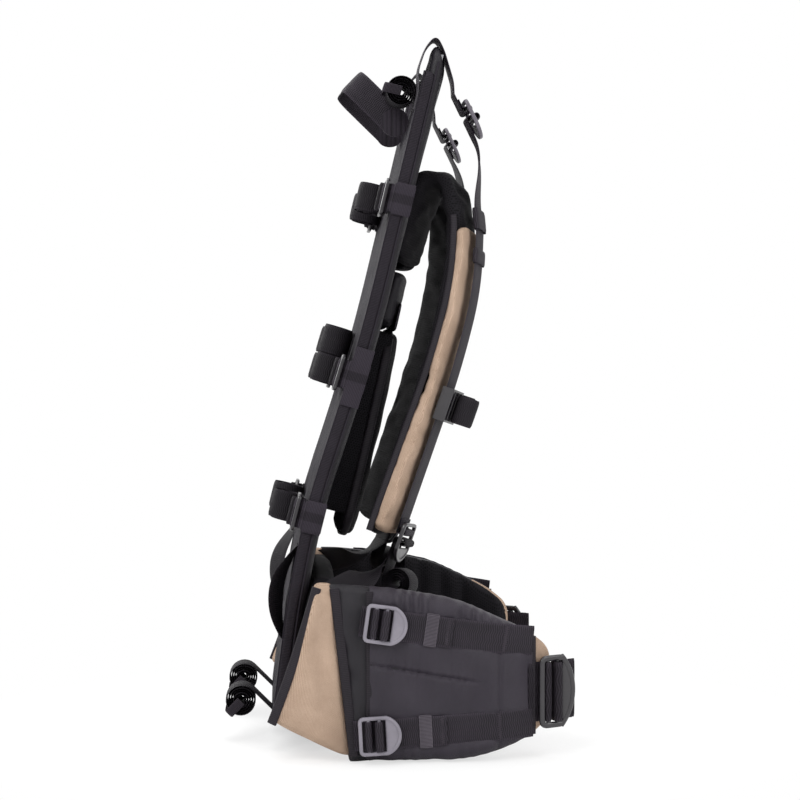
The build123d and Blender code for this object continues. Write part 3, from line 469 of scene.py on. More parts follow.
def folds(s, u, v):
    """Long soft folds down a sleeve, drawn together at its top."""
    top = np.clip((s - 500) / 60, 0, 1)
    spot = spots(s * 0.35, u * 1.4, v * 6)
    return uneven(spot, 24, 8) * (0.55 + 0.9 * top)


sleeve_z = np.linspace(SLEEVE_LOW, SLEEVE_TOP, 500)
sleeves = []
for sign in (-1, 1):
    lean = np.interp(sleeve_z, [43, 540, 573, 600, 612], [SLEEVE_MID, SLEEVE_MID, 9.4, 8.2, 5.0])
    line = ends_denser(on_frame(sign * STAY_Y, sleeve_z, lean), 5, 14)
    width = np.interp(line[:, 2], [43, 500, 580, 600, 612], [34, 34, 36, 31, 22])
    thick = np.interp(line[:, 2], [43, 500, 560, 590, 603, 612], [10.6, 10.6, 12.5, 15.5, 11, 6])
    sleeves.append(padding(line, (0, 1, 0), width, thick, folds, corner=9, edge=9, power=2.5, count=36))
sleeve = piece("stay_sleeves_cloth", sleeves, NYLON, "frame", ["stay_sleeves"], level=1)

# ============================================================ back pad
# Foam pad covered with black spacer mesh, with three upright channels that let air through and a mesh
# wall from each side back to the frame. Its edge is bound with a thin tape.

PAD_LINE = [(-10, 372), (-25, 303), (-46, 213), (-56, 174)]
PAD_LOW, PAD_TOP = 178, 366
PAD_W, PAD_T = 124, 18
PAD_CHANNELS = (-31, 0, 31)


def holed(name, dark, light, hole, depth, rough, **constants):
    """Spacer mesh: rows of small round holes, every other row moved by half a hole."""
    def holes(tree):
        u, v = cloth_place(tree)
        row = calc(tree, "FLOOR", calc(tree, "DIVIDE", v, hole * 0.87))
        moved = calc(tree, "ADD", u, calc(tree, "MULTIPLY", calc(tree, "MODULO", row, 2.0), hole / 2))
        a = calc(tree, "SUBTRACT", calc(tree, "FRACT", calc(tree, "DIVIDE", moved, hole)), 0.5)
        b = calc(tree, "SUBTRACT", calc(tree, "FRACT", calc(tree, "DIVIDE", v, hole * 0.87)), 0.5)
        far = calc(tree, "SQRT",
                   calc(tree, "ADD", calc(tree, "MULTIPLY", a, a), calc(tree, "MULTIPLY", b, b)))
        return between(tree, far, 0.18, 0.36)

    def colour(tree):
        share = calc(tree, "MULTIPLY", holes(tree),
                     calc(tree, "ADD", 0.55, calc(tree, "MULTIPLY", cloud(tree, 1.5), 0.6)))
        return mixed(tree, share, dark, light)

    return finished(name, colour, holes, depth, patchy(rough, 20, 0.12), **constants)


SPACER_MESH = holed("black_spacer_mesh", (4, 4, 5), (26, 24, 28), hole=2.4, depth=0.40, rough=0.75)
BINDING = ribbed("binding_tape", (14, 11, 15), (44, 39, 46), pitch=1.5, slant=0.0, depth=0.12, rough=0.5,
                 width=9,
                 Specular_IOR_Level=0.2)
FILL_FRAMES = 18


def inflate(made, pressure, cap, slack=0.0):
    """Fills a closed cloth form with air in a short simulation without gravity, lets no point move more
    than cap millimetres, and keeps the result as the mesh."""
    rest = np.empty(len(made.data.vertices) * 3, np.float32)
    made.data.vertices.foreach_get("co", rest)
    held = list(made.modifiers)
    for modifier in held:
        modifier.show_viewport = False
    cloth = made.modifiers.new("fill", "CLOTH")
    cloth.settings.quality = 5
    cloth.settings.mass = 0.15
    cloth.settings.tension_stiffness = cloth.settings.compression_stiffness = 20
    cloth.settings.bending_stiffness = 0.3
    cloth.settings.use_pressure = True
    cloth.settings.uniform_pressure_force = pressure
    cloth.settings.shrink_min = -slack
    cloth.settings.effector_weights.gravity = 0
    cloth.collision_settings.use_collision = False
    cloth.point_cache.frame_end = FILL_FRAMES
    for number in range(1, FILL_FRAMES + 1):
        bpy.context.scene.frame_set(number)
    swollen = np.empty_like(rest)
    made.evaluated_get(bpy.context.evaluated_depsgraph_get()).data.vertices.foreach_get("co", swollen)
    made.modifiers.remove(cloth)
    moved = (swollen - rest).reshape(-1, 3)
    size = np.linalg.norm(moved, axis=1, keepdims=True)
    moved *= np.minimum(1, cap / 1000 / np.maximum(size, 1e-9))
    made.data.vertices.foreach_set("co", rest + moved.reshape(-1))
    made.data.update()
    for modifier in held:
        modifier.show_viewport = True
    bpy.context.scene.frame_set(1)


def channels(s, u, v):
    """Three upright grooves in the pad's front and a little unevenness of the mesh."""
    groove = sum(np.exp(-((u - y) / 3.6) ** 2) for y in PAD_CHANNELS)
    spot = spots(s, u, v * 9)
    return np.where(v > 0, -5.2 * groove, 0) + uneven(spot, 34, 5) * 0.7


def along_side(points, low, high, step=5.0, end=10.0):
    """Side-view line between two heights, closer spaced near its ends."""
    line = soft_line(points, step=1.0)
    line = line[(line[:, 1] >= low) & (line[:, 1] <= high)]
    return ends_denser(in_side_view(line, 0), step, end)


pad_line = along_side(PAD_LINE, PAD_LOW, PAD_TOP)
wall_z = np.linspace(PAD_LOW + 26, PAD_TOP - 1, 40)
wall_front = np.interp(wall_z, pad_line[::-1, 2], pad_line[::-1, 0])
wall_back = frame_rear(wall_z) + 6
pad_walls = []
for sign in (-1, 1):
    wall_line = spots((wall_front + wall_back) / 2, sign * 56.0 + 0.8 * np.sin(wall_z / 11), wall_z)
    pad_walls.append(carry(wall_line, (1, 0, 0), superellipse(1, 1, 3, 18),
                           grow=spots(wall_front - wall_back + 6, 3.4)))
cushion = padding(pad_line, (0, -1, 0), PAD_W - 3, PAD_T - 1.5, channels,
                  corner=30, edge=9, power=3.6, count=96)
back_pad = piece("back_pad_mesh", [cushion] + pad_walls,
                 SPACER_MESH, "frame", ["back_pad"], level=1)
inflate(back_pad, pressure=2.0, cap=2.0)


def pad_rim(line, wide, corner, back):
    """Line round a pad's edge in its own plane: the pad's outline, set back by the given distance."""
    out = np.cross((0, -1, 0), directions(line))
    half = wide / 2 * closing(line, corner)
    sides = [line + out * back + np.outer(half * sign, (0, -1, 0)) for sign in (1, -1)]
    return spaced(np.concatenate([sides[0], sides[1][::-1], sides[0][:1]]), 3)


rim_line = pad_rim(pad_line, PAD_W - 1.5, 30, 0)
rim_across = np.cross((0, -1, 0), directions(pad_line)).mean(axis=0)
piece("back_pad_binding", carry(rim_line, rim_across, superellipse(7.5, 3.0, 2.6, 16), closed=True),
      BINDING, "frame")

# ============================================================ yoke and its band
# Padded nylon yoke between the stay sleeves, where both shoulder straps are sewn in. A webbing band
# crosses its front over the back pad's top edge.

YOKE_LINE = [(-20, 358), (-17, 378), (-4, 420)]
YOKE_HALF = 73.4
YOKE_LOW = 367


def yoke_creases(s, u, v):
    """Uneven nylon drawn together over the yoke's foam."""
    spot = spots(s * 0.8, u * 0.5, v * 8)
    return uneven(spot, 15, 12) * 0.9 + uneven(spot, 40, 13) * 1.0


yoke_line = along_side(YOKE_LINE, YOKE_LOW, 419, 4, 8)
yoke_form = padding(yoke_line, (0, -1, 0), 2 * YOKE_HALF - 2, 18, yoke_creases,
                    corner=9, edge=9, power=3.4, count=110)
yoke = piece("yoke_nylon", yoke_form, NYLON, "frame", ["yoke"], level=1)
inflate(yoke, pressure=2.0, slack=0.03, cap=2.0)

WEBBING = ribbed("black_webbing", (14, 12, 15), (54, 48, 57), pitch=1.7, slant=0.9, depth=0.24, rough=0.55,
                 Specular_IOR_Level=0.18)
WEB_OUTLINE = superellipse(25.2, 1.7, 3.2, 22)
band_y = np.linspace(-YOKE_HALF, YOKE_HALF, 60)
yoke_middle = soft_line(YOKE_LINE)
band_middle = np.interp(378, yoke_middle[:, 1], yoke_middle[:, 0])
band_up = directions(in_side_view(yoke_middle, 0))[np.argmin(np.abs(yoke_middle[:, 1] - 379))]
band_front = np.cross((0, -1, 0), band_up) * -1
band_base = np.array((band_middle, 0, 379.0)) + band_front * np.sign(band_front[0]) * 10.6
band_line = band_base + np.outer(band_y, (0, 1, 0)) + np.outer(0.4 * np.sin(band_y / 9), (1, 0, 0))
piece("yoke_band_webbing", carry(band_line, band_up, WEB_OUTLINE), WEBBING, "frame", ["yoke_band"])

# ============================================================ lumbar pad and base panels
# Foam lumbar pad under the frame, covered with black mesh on its front. A tan panel of coarse cloth
# closes each side of it, its two upright edges folded into black binding tape.

BELT_Y, BELT_T, BELT_TOP = 150, 26, 150
LUMBAR_HALF = 118
LUMBAR_CHANNELS = (-84, -42, 0, 42, 84)


def lumbar_creases(s, u, v):
    """Upright grooves on the lumbar pad's front and shallow unevenness."""
    groove = sum(np.exp(-((s - LUMBAR_HALF - y) / 4.5) ** 2) for y in LUMBAR_CHANNELS)
    spot = spots(s, u, v * 9)
    return np.where(v > 0.1, -4.5 * groove, 0) + uneven(spot, 42, 9) * 0.9


lumbar_y = np.linspace(-LUMBAR_HALF + 2, LUMBAR_HALF - 2, 300)
lumbar_line = ends_denser(np.stack([-78 - 0 * lumbar_y, lumbar_y, 79 + 0 * lumbar_y], axis=1), 5, 12)
lumbar = padding(lumbar_line, (0, 0, -1), 138, 33, lumbar_creases,
                 corner=20, edge=12, power=5, count=72)
lumbar_z = lumbar[0][:, 2]
rear_limit = frame_rear(lumbar_z) + 16.5
forward = (lumbar[0][:, 0] + 94.5) / 33
lumbar[0][:, 0] = rear_limit + np.clip(forward, 0, 1.1) * (-62 - rear_limit)
base_floor = np.interp(lumbar[0][:, 0], (-140, -95, -60, -30), (40, 21, 5, 2))
lumbar[0][:, 2] = base_floor + (lumbar_z - 10) / 138 * (149 - base_floor)
lumbar_pad = piece("lumbar_pad_mesh", lumbar, SPACER_MESH, "frame", ["lumbar_pad"], level=1)
inflate(lumbar_pad, pressure=2.0, cap=1.5)

TAN_CLOTH = woven("tan_coarse_cloth", (122, 98, 79), (208, 182, 161), thread=0.95, depth=0.34, rough=0.85,
                  worn=0.28)
PANEL_REAR = [(-82, 149), (-96, 95), (-121, 2)]
PANEL_FRONT = [(-67, 149), (-50, 2)]


def panel_folds(s, u, v):
    """Two soft slanting folds of the tan cloth and its slight unevenness."""
    fold = np.exp(-((u + 0.12 * s - 14) / 7) ** 2) - 0.7 * np.exp(-((u + 0.3 * s - 2) / 6) ** 2)
    spot = spots(s * 0.5, u, v * 6)
    return fold * 1.5 + uneven(spot, 30, 17) * 1.0


def panel_edge(points, z):
    """X of one of the base panel's edges at height z."""
    line = soft_line(points)[::-1]
    return np.interp(z, line[:, 1], line[:, 0])


panel_height = np.linspace(149.5, 1.5, 320)
rear_x, front_x = panel_edge(PANEL_REAR, panel_height), panel_edge(PANEL_FRONT, panel_height)
base_line = spots((rear_x + front_x) / 2, -141.5, panel_height)
base_line = ends_denser(base_line, 5, 10)
base_width = np.interp(-base_line[:, 2], -panel_height, front_x - rear_x)
base_panel = padding(base_line, (-1, 0, 0), base_width, 42, panel_folds,
                     corner=5, edge=14, power=4.2, count=56)


def over_floor(points):
    """Heights drawn up from the panel's slanting lower edge, which rises to the rear."""
    low = np.interp(points[:, 0], (-125, -95, -60, -40), (34, 21, 6, 1))
    return np.stack([points[:, 0], points[:, 1], low + (points[:, 2] - 1.5) / 148 * (149.5 - low)], axis=1)


base_panel = placed(base_panel, over_floor)
base = piece("base_panels_tan", both_sides([base_panel]), TAN_CLOTH, "frame", ["base_panels"],
             level=1)

EDGE_HEIGHT = np.linspace(147.5, 5, 60)
rear_edge = over_floor(spots(panel_edge(PANEL_REAR, EDGE_HEIGHT) + 1.5, -158.5, EDGE_HEIGHT))
front_edge = over_floor(spots(panel_edge(PANEL_FRONT, EDGE_HEIGHT) + 0.5, -161.5, EDGE_HEIGHT))
edge_bindings = [carry(rear_edge, (0.9, -0.45, 0), superellipse(8.5, 4.0, 2.8, 16)),
                 carry(front_edge, (1, -0.1, 0), superellipse(8.5, 3.6, 2.8, 16))]
piece("base_panel_bindings", both_sides(edge_bindings), BINDING, "frame")

# ============================================================ shoulder straps
# Each strap is a curved foam pad in black mesh, gathered over the shoulder, with a tan cover on its
# outer face below the shoulder and binding down both edges.

STRAP_LINE = [(1, 425), (10, 462), (22, 498), (42, 496), (53, 462), (50, 400), (32, 330), (-15, 197),
              (-21, 178)]
STRAP_X, STRAP_Y, STRAP_Z = -10, -35, 497
STRAP_TURN, STRAP_SPLAY = math.radians(22), math.radians(8)
STRAP_W, STRAP_T = 60, 18.3
COVER_TOP = 452


def strap_plane(points):
    """Side-view points in the strap's own plane, which the side view shows shortened by its turn."""
    points = np.array(points, float)
    points[:, 0] = STRAP_X + (points[:, 0] - STRAP_X) / math.cos(STRAP_TURN)
    return points


def strap_place(points):
    """From the strap's own plane to its place: a turn about the upright, then a lean to the side."""
    x, y, z = (np.asarray(points) - (STRAP_X, 0, STRAP_Z)).T
    c, s = math.cos(-STRAP_TURN), math.sin(-STRAP_TURN)
    x, y = c * x - s * y, s * x + c * y
    c, s = math.cos(-STRAP_SPLAY), math.sin(-STRAP_SPLAY)
    y, z = c * y - s * z, s * y + c * z
    return np.stack([x + STRAP_X, y + STRAP_Y, z + STRAP_Z], axis=-1)


def strap_creases(s, u, v):
    """Nylon drawn together across the strap over the shoulder, and small puckers further down."""
    over = np.exp(-((s - 95) / 70) ** 2)
    spot = spots(s * 1.3, u * 0.45, v * 7)
    fine = spots(s * 1.7, u * 0.3, v * 4)
    return (uneven(spot, 15, 21) * (0.5 + 1.9 * over) + uneven(fine, 8, 22) * (0.25 + 1.1 * over)
            - 0.6 * over)


strap_middle = soft_line(strap_plane(STRAP_LINE), step=1.0)
strap_in = in_side_view(strap_middle, 0)
strap_out = np.cross((0, 1, 0), directions(strap_in)) * -1
strap_out = strap_out * np.sign(strap_out[len(strap_out) // 2, 0])
strap_travel = travelled(strap_in)
cover_start = strap_travel[np.argmax((strap_in[:, 2] < COVER_TOP) & (strap_in[:, 0] > 30))]


def strap_at(start, stop, shift):
    """Part of the strap's middle line between two distances along it, moved outwards."""
    use = (strap_travel >= start) & (strap_travel <= stop)
    return (strap_in + strap_out * shift)[use]


pad_shift = np.interp(strap_travel, [0, cover_start - 30, cover_start + 20, strap_travel[-1]],
                      [0, 0, -3.6, -5.8])
pad_thick = np.interp(strap_travel, [0, 40, cover_start - 30, cover_start + 20, strap_travel[-1]],
                      [15, 17, 17, 11.5, 6.8])
pad_centre = ends_denser(np.concatenate([strap_in + strap_out * pad_shift[:, None], pad_thick[:, None]],
                                        axis=1), 5, 12)
shoulder = padding(pad_centre[:, :3], (0, 1, 0), STRAP_W - 1, pad_centre[:, 3], strap_creases,
                   corner=16, edge=8, power=3.6, count=64)
shoulder = placed(shoulder, strap_place)
along_cover = np.clip((strap_travel - cover_start) / (strap_travel[-1] - cover_start), 0, 1)[:, None]
cover_middle = strap_at(cover_start, strap_travel[-1] - 3, 4.2 - 2.2 * along_cover)
cover_size = np.linspace(10.5, 14.8, len(cover_middle))[:, None]
cover_line = ends_denser(np.concatenate([cover_middle, cover_size], axis=1), 5, 8)


def cover_creases(s, u, v):
    """Small puckers across the tan cover, deeper along both sewn edges."""
    edge = np.clip(np.abs(u) / 28, 0, 1) ** 4
    spot = spots(s * 1.4, u * 0.4, v * 3)
    lower = 1 + 1.6 * np.clip((s - 90) / 90, 0, 1)
    return uneven(spot, 13, 31) * (0.35 + 1.1 * edge) * lower + uneven(spot, 40, 32) * 0.7


cover = padding(cover_line[:, :3], (0, 1, 0), STRAP_W - 2, cover_line[:, 3], cover_creases,
                corner=10, edge=7, power=4.2, count=60)
cover = placed(cover, strap_place)
cover_edges = []
for sign in (-1, 1):
    edge = strap_at(cover_start - 6, strap_travel[-1] - 4, -0.9 - 3.2 * along_cover)
    edge = spaced(edge + np.array((0, sign * (STRAP_W / 2 - 0.9), 0)), 4)
    across = strap_out[(strap_travel >= cover_start - 6) & (strap_travel <= strap_travel[-1] - 4)]
    share, known = np.linspace(0, 1, len(edge)), np.linspace(0, 1, len(across))
    across = np.stack([np.interp(share, known, k) for k in across.T], axis=1)
    cover_edges.append(placed(carry(edge, across, superellipse(6.0, 3.0, 2.8, 16)), strap_place))

for side, turn in SIDES:
    strap = piece(side + "_shoulder_strap", turn(shoulder), SPACER_MESH, "frame", [side + "_shoulder_pad"],
                  level=1)
    tan = piece(side + "_shoulder_strap_cover", turn(cover), TAN_CLOTH, "frame", [side + "_shoulder_cover"],
                level=1)
    inflate(strap, pressure=2.5, slack=0.04, cap=2.5)
    inflate(tan, pressure=1.5, slack=0.04, cap=2.0)
    piece(side + "_shoulder_strap_bindings", [turn(part) for part in cover_edges], BINDING, "frame")

# ============================================================ ladder-locks
# A D-shaped moulded frame with two bars and a solid nose. Webbing from one side is sewn round the rear
# bar; the strap that is pulled tight runs over the front bar and back on itself.

LEG_LOW, LEG_HIGH = -6.3, -4.95
LOOP_R = 2.4
FRONT_IN, FRONT_OUT, FRONT_OVER = 6.1, 11.4, 5.5
LOCK_STAND = 7.2
LOCK_NOSE, LOCK_SHOULDER, LOCK_PLATE, LOCK_TAIL, LOCK_PITCH, LOCK_BAR = 27.5, 15.5, 14.3, -8.5, 9.0, 3.1
GREY_LOCK = moulded("grey_lock_plastic", (96, 93, 101), (140, 135, 145), grain=0.35, depth=0.035, rough=0.3,
                    Specular_IOR_Level=0.5)
DARK_LOCK = moulded("dark_grey_lock_plastic", (66, 62, 69), (104, 99, 108), grain=0.35, depth=0.035,
                    rough=0.34,
                    Specular_IOR_Level=0.4)
BLACK_LOCK = moulded("black_lock_plastic", (14, 12, 15), (36, 32, 38), grain=0.35, depth=0.03, rough=0.24,
                     Specular_IOR_Level=0.5, Coat_Weight=0.2)


def ladder_lock(width, rim):
    """The lock in its own frame: x to the nose, y across, z outwards, its rear bar at the origin. The
    frame is a rounded bar carried round a D, the nose a plate whose front follows the D's arc."""
    inner = width / 2 + 0.5
    outer = inner + rim
    rise = LOCK_NOSE - LOCK_SHOULDER
    radius = (outer**2 + rise**2) / (2 * rise)
    turn = math.asin(outer / radius)
    angle = np.linspace(-turn, turn, 25)
    middle = radius - rim / 2
    arc = np.stack([LOCK_NOSE - radius + middle * np.cos(angle), middle * np.sin(angle)], axis=1)
    rear, side = LOCK_TAIL + rim / 2, outer - rim / 2
    corner = np.array([(LOCK_SHOULDER, side), (rear, side), (rear, 0)])
    half = soft_line(corner, rim, 1.6)
    loop = np.concatenate([arc, half[1:], (half * (1, -1))[::-1][1:-1], arc[:1]])
    loop = np.concatenate([loop, np.zeros((len(loop), 1))], axis=1)
    frame_bar = carry(loop, (0, 0, 1), superellipse(3.4, rim, 3.6, 16), closed=True)
    y = np.linspace(-inner - 0.8, inner + 0.8, 25)
    front = LOCK_NOSE - radius + np.sqrt((radius - rim * 0.6) ** 2 - y**2)
    section = superellipse(2, 2.3, 3.6, 20)
    nose_x = (LOCK_PLATE + front)[:, None] / 2 + section[:, 0] * (front - LOCK_PLATE)[:, None] / 2
    nose = spots(nose_x, y[:, None], section[:, 1])
    bar = spots(0.0, np.linspace(-inner - 0.5, inner + 0.5, 9), 0.0)
    bars = [carry(bar + (x, 0, 0), (1, 0, 0), superellipse(LOCK_BAR, LOCK_BAR, 2.2, 14))
            for x in (0.0, LOCK_PITCH)]
    return joined([frame_bar, shell(nose, nose[..., :2])] + bars)


ONE_INCH_LOCK = ladder_lock(ONE_INCH, 3.2)


def anchor_path(leg):
    """Webbing that carries a lock: out, round the rear bar and back, in the lock's (x, z)."""
    return [(-leg, LEG_LOW), (LOOP_R, LEG_LOW), (LOOP_R, LOOP_R), (-LOOP_R, LOOP_R), (-LOOP_R, LEG_HIGH),
            (-leg, LEG_HIGH)]


def threaded_path(loaded, free):
    """Webbing through the lock: in under the nose, over the front bar and out again."""
    return [(loaded, LEG_LOW), (FRONT_IN, LEG_LOW), (FRONT_IN, FRONT_OVER), (FRONT_OUT, FRONT_OVER),
            (FRONT_OUT, LEG_HIGH), (free, LEG_HIGH)]


def tight(points, step=0.9):
    """Threaded webbing's path with its bends rounded, as (x, 0, z)."""
    return in_side_view(soft_line(points, 2.6, step), 0)


def lock_place(origin, along, out):
    """Placing function of a lock's frame: x along, z out, y = out x along."""
    origin, along, out = (np.array(k, float) for k in (origin, along, out))
    along, out = along / np.linalg.norm(along), out / np.linalg.norm(out)
    axes = np.stack([along, np.cross(out, along), out])
    return lambda points: origin + np.asarray(points) @ axes


def belt_of(path, place, outline=None):
    """Webbing of the lock's width along a path in the lock's frame."""
    return placed(carry(path, (0, 1, 0), WEB_OUTLINE if outline is None else outline), place)


def stitch_rows(lines, out, pitch, length, thick):
    """Sewn thread: along each line lies one small closed prism a pitch, pressed half into the cloth."""
    shells = []
    for line in lines:
        line = spaced(np.asarray(line, float), pitch)
        middle, run = (line[1:] + line[:-1]) / 2, line[1:] - line[:-1]
        run /= np.linalg.norm(run, axis=1, keepdims=True)
        up = np.broadcast_to(out / np.linalg.norm(out, axis=1, keepdims=True), middle.shape)
        side = np.cross(up, run)
        ends = np.array([-0.5, -0.36, 0.36, 0.5]) * length
        size = np.array([0.25, 1, 1, 0.25]) * thick / 2
        turn = np.array([0, 1, 2, 3, 4]) * 2 * np.pi / 5
        grid = (middle[:, None, None] + run[:, None, None] * ends[None, :, None, None]
                + (side[:, None, None] * np.cos(turn)[None, None, :, None]
                   + up[:, None, None] * np.sin(turn)[None, None, :, None]) * size[None, :, None, None])
        shells += [shell(one, one[..., :2]) for one in grid]
    return joined(shells)


def lock_piece(name, part, finish, body):
    """A lock in place of the node that has its body's name."""
    return piece(name, part, finish, body, [body], smooth=40)


THREAD = moulded("black_thread", (22, 20, 23), (74, 68, 76), grain=0.5, depth=0.05, rough=0.6)

# ============================================================ wings of the hip belt
# Two padded wings hang on the base panels by a sewn flex line. Each is foam with black mesh on its
# inner face, black nylon round its edges and tan cloth at its tip; a nylon flap gathered along its top
# edge lies over the outer face.

WING_TOP = [(-90, 150), (-28, 149), (39, 137), (72, 121), (95, 110), (112, 96), (117, 84)]
WING_BOTTOM = [(-90, 0), (48, 0), (82, 10), (106, 23), (117, 36)]
HINGE_TOP_X, HINGE_FLOOR_X = -65.6, -48.6
WING_CHANNELS = (-20, 5, 30, 52, 74)
WING_BEND, BELT_LOCK_AT, WING_END = 75, 106.5, 116.6
ROWS = {"upper": (-33, 119, 8), "lower": (-38, 25, -3)}
wing_plan = soft_line([(-64, -BELT_Y), (WING_BEND, -BELT_Y), (135, -122)], 22, 0.5)
wing_travel = travelled(wing_plan)
top_curve, low_curve = soft_line(WING_TOP, step=1.0), soft_line(WING_BOTTOM, step=1.0)


def wing_x(s):
    """X at a distance along the wing's middle line."""
    return np.interp(s, wing_travel, wing_plan[:, 0])


def wing_at(x):
    """Distance along the wing's middle line at an X."""
    return np.interp(x, wing_plan[:, 0], wing_travel)


def height_on(curve, x):
    """Height of a side-view curve at an X."""
    return np.interp(x, curve[:, 0], curve[:, 1])


def on_wing(s, height, z):
    """Point at a distance along the right wing's middle line, a height outside it, at z."""
    s, height, z = np.broadcast_arrays(*(np.asarray(k, float) for k in (s, height, z)))
    base = np.stack([np.interp(s, wing_travel, wing_plan[:, k]) for k in (0, 1)], axis=-1)
    ahead = np.stack([np.interp(s + 1, wing_travel, wing_plan[:, k]) for k in (0, 1)], axis=-1)
    behind = np.stack([np.interp(s - 1, wing_travel, wing_plan[:, k]) for k in (0, 1)], axis=-1)
    run = (ahead - behind) / np.linalg.norm(ahead - behind, axis=-1, keepdims=True)
    outwards = np.stack([run[..., 1], -run[..., 0]], axis=-1)
    return np.concatenate([base + outwards * height[..., None], z[..., None]], axis=-1)


wing_line = ends_denser(in_side_view(wing_plan, 0)[:, [0, 2, 1]][wing_travel <= wing_at(WING_END)], 4.5, 9)
wing_high, wing_low = height_on(top_curve, wing_line[:, 0]), height_on(low_curve, wing_line[:, 0])


def wing_face(s, u, v):
    """Upright channels in the wing's inner mesh face and slight unevenness outside."""
    x = wing_x(s)
    groove = sum(np.exp(-((x - k) / 4.2) ** 2) for k in WING_CHANNELS)
    spot = spots(s, u, v * 8)
    return np.where(v > 0.1, -4.6 * groove + 0.8, 0) + uneven(spot, 33, 41) * 0.8


def slanted(part):
    """Rear end of the wing leaned along its flex line; the lean fades out 60 mm ahead of it."""
    points = part[0].copy()
    hinge = HINGE_FLOOR_X + (HINGE_TOP_X - HINGE_FLOOR_X) * points[:, 2] / BELT_TOP
    points[:, 0] += (hinge + 59) * np.clip(1 - (points[:, 0] + 60) / 60, 0, 1)
    return (points,) + tuple(part[1:])


wing_pad = slanted(padding(wing_line, (0, 0, 1), wing_high - wing_low - 1, 24, wing_face, corner=0.5,
                           edge=11, power=3.8, count=104, drift=(wing_high + wing_low) / 2))

NYLON_FLAP = woven("dark_nylon_flap", (20, 17, 23), (52, 46, 56), thread=0.45, depth=0.09, rough=0.42,
                   Specular_IOR_Level=0.28)
FLAP_START, FLAP_END = -37.0, 95.0
flap_s = np.linspace(wing_at(FLAP_START), wing_at(FLAP_END), 130)
flap_share = np.linspace(-1, 1, 120)[None, :]
flap_x = wing_x(flap_s)[:, None]
flap_high = height_on(top_curve, flap_x) - 0.5
flap_low = height_on(low_curve, flap_x) + 1.5
flap_z = (flap_high + flap_low) / 2 + flap_share * (flap_high - flap_low) / 2
from_top, from_low = flap_high - flap_z, flap_z - flap_low
round_over = np.sqrt(np.clip(1 - (1 - np.clip(np.minimum(from_top, from_low) / 11, 0, 1)) ** 2, 0, 1))
spot = spots(flap_x, flap_z, 0 * flap_z)
gather = np.sin(flap_x * 0.62 + 2.2 * np.sin(flap_x * 0.11) + 0.02 * from_top * np.sin(flap_x * 0.05))
low_gather = np.sin(flap_x * 0.5 + 1.9 * np.sin(flap_x * 0.13))
gather = gather * np.exp(-from_top / 17) * 2.0 + low_gather * np.exp(-from_low / 12) * 0.7
rows_z = [z0 - (flap_x - x0) * math.tan(math.radians(slope)) for x0, z0, slope in ROWS.values()]
under_strap = sum(np.exp(-((flap_z - row) / 12.5) ** 6) for row in rows_z)
slot_z = 83 - (flap_x + 32) * 14 / 80
along_slot = 1 / (1 + np.exp(-(flap_x + 36) / 3)) / (1 + np.exp((flap_x - 50) / 3))
slot = along_slot * np.exp(-((flap_z - slot_z) / 1.7) ** 2)
pucker = along_slot * np.sin(flap_x * 0.8 + np.sin(flap_x * 0.17) * 2)
pucker = pucker * np.exp(-np.abs(flap_z - slot_z) / 6)
under_strap = np.clip(under_strap, 0, 1)
billows = uneven(spot, 46, 51) * 1.7 + uneven(spot * (1, 0.45, 1), 19, 52) * 1.4
flap_out = 13.0 + (billows + gather + pucker * 0.55) * (1 - 0.8 * under_strap)
flap_out = flap_out + 1.8 + 1.3 * (1 - under_strap) - slot * 2.3 - 1.5 * np.exp(-((flap_x - 70) / 1.8) ** 2)
flap_out = flap_out - (1 - round_over) * 12.5
flap_grid = on_wing(flap_s[:, None], np.maximum(flap_out, 0.8), flap_z)
flap = shell(flap_grid, spots(flap_s[:, None], flap_z), wrap=False)
flap_edge_z = np.linspace(float(flap_high[0, 0]) - 3, float(flap_low[0, 0]) + 3, 60)
flap_tip_z = np.linspace(float(flap_high[-1, 0]) - 4, float(flap_low[-1, 0]) + 3, 60)
flap_hem = [carry(on_wing(np.full(60, s), height, z), (1, 0, 0), superellipse(wide, 2.2, 2.6, 14))
            for s, height, wide, z in ((flap_s[0], 15.0, 6, flap_edge_z),
                                       (flap_s[-1], 14.6, 7, flap_tip_z))]


def faced(made, finish, where):
    """Another finish on the faces whose middles, in the drawing's millimetres, satisfy where(middles)."""
    made.data.materials.append(finish)
    faces = made.data.polygons
    middle, index = np.empty(len(faces) * 3), np.empty(len(faces), np.int32)
    faces.foreach_get("center", middle)
    faces.foreach_get("material_index", index)
    held = where(middle.reshape(-1, 3) * 1000 - DRAWING_TO_PART)
    faces.foreach_set("material_index",
                      np.where(held, len(made.data.materials) - 1, index).astype(np.int32))


for side, turn in SIDES:
    body = side + "_wing"
    pad = piece(side + "_wing_pad_tan", turn(wing_pad), TAN_CLOTH, body, [side + "_wing_pad"],
                level=1)
    faced(pad, NYLON, lambda at: at[:, 0] < 84)
    faced(pad, SPACER_MESH, lambda at: np.abs(at[:, 1]) + 0.45 * np.maximum(at[:, 0] - 72, 0) < 147)
    inflate(pad, pressure=2.0, slack=0.01, cap=1.5)
    cloth = piece(side + "_wing_flap", turn(flap), NYLON_FLAP, body, [side + "_wing_cover"],
                  level=1)
    wall = cloth.modifiers.new("wall", "SOLIDIFY")
    wall.thickness, wall.offset = 0.0009, 0
    piece(side + "_wing_flap_hems", [turn(part) for part in flap_hem], BINDING, body)

# ============================================================ webbing rows of the wings
# Two one-inch straps cross each wing. Each runs through a grey ladder-lock at its rear end, back under
# an elastic keeper, and is sewn down with a bar of zigzag stitches near the tip.

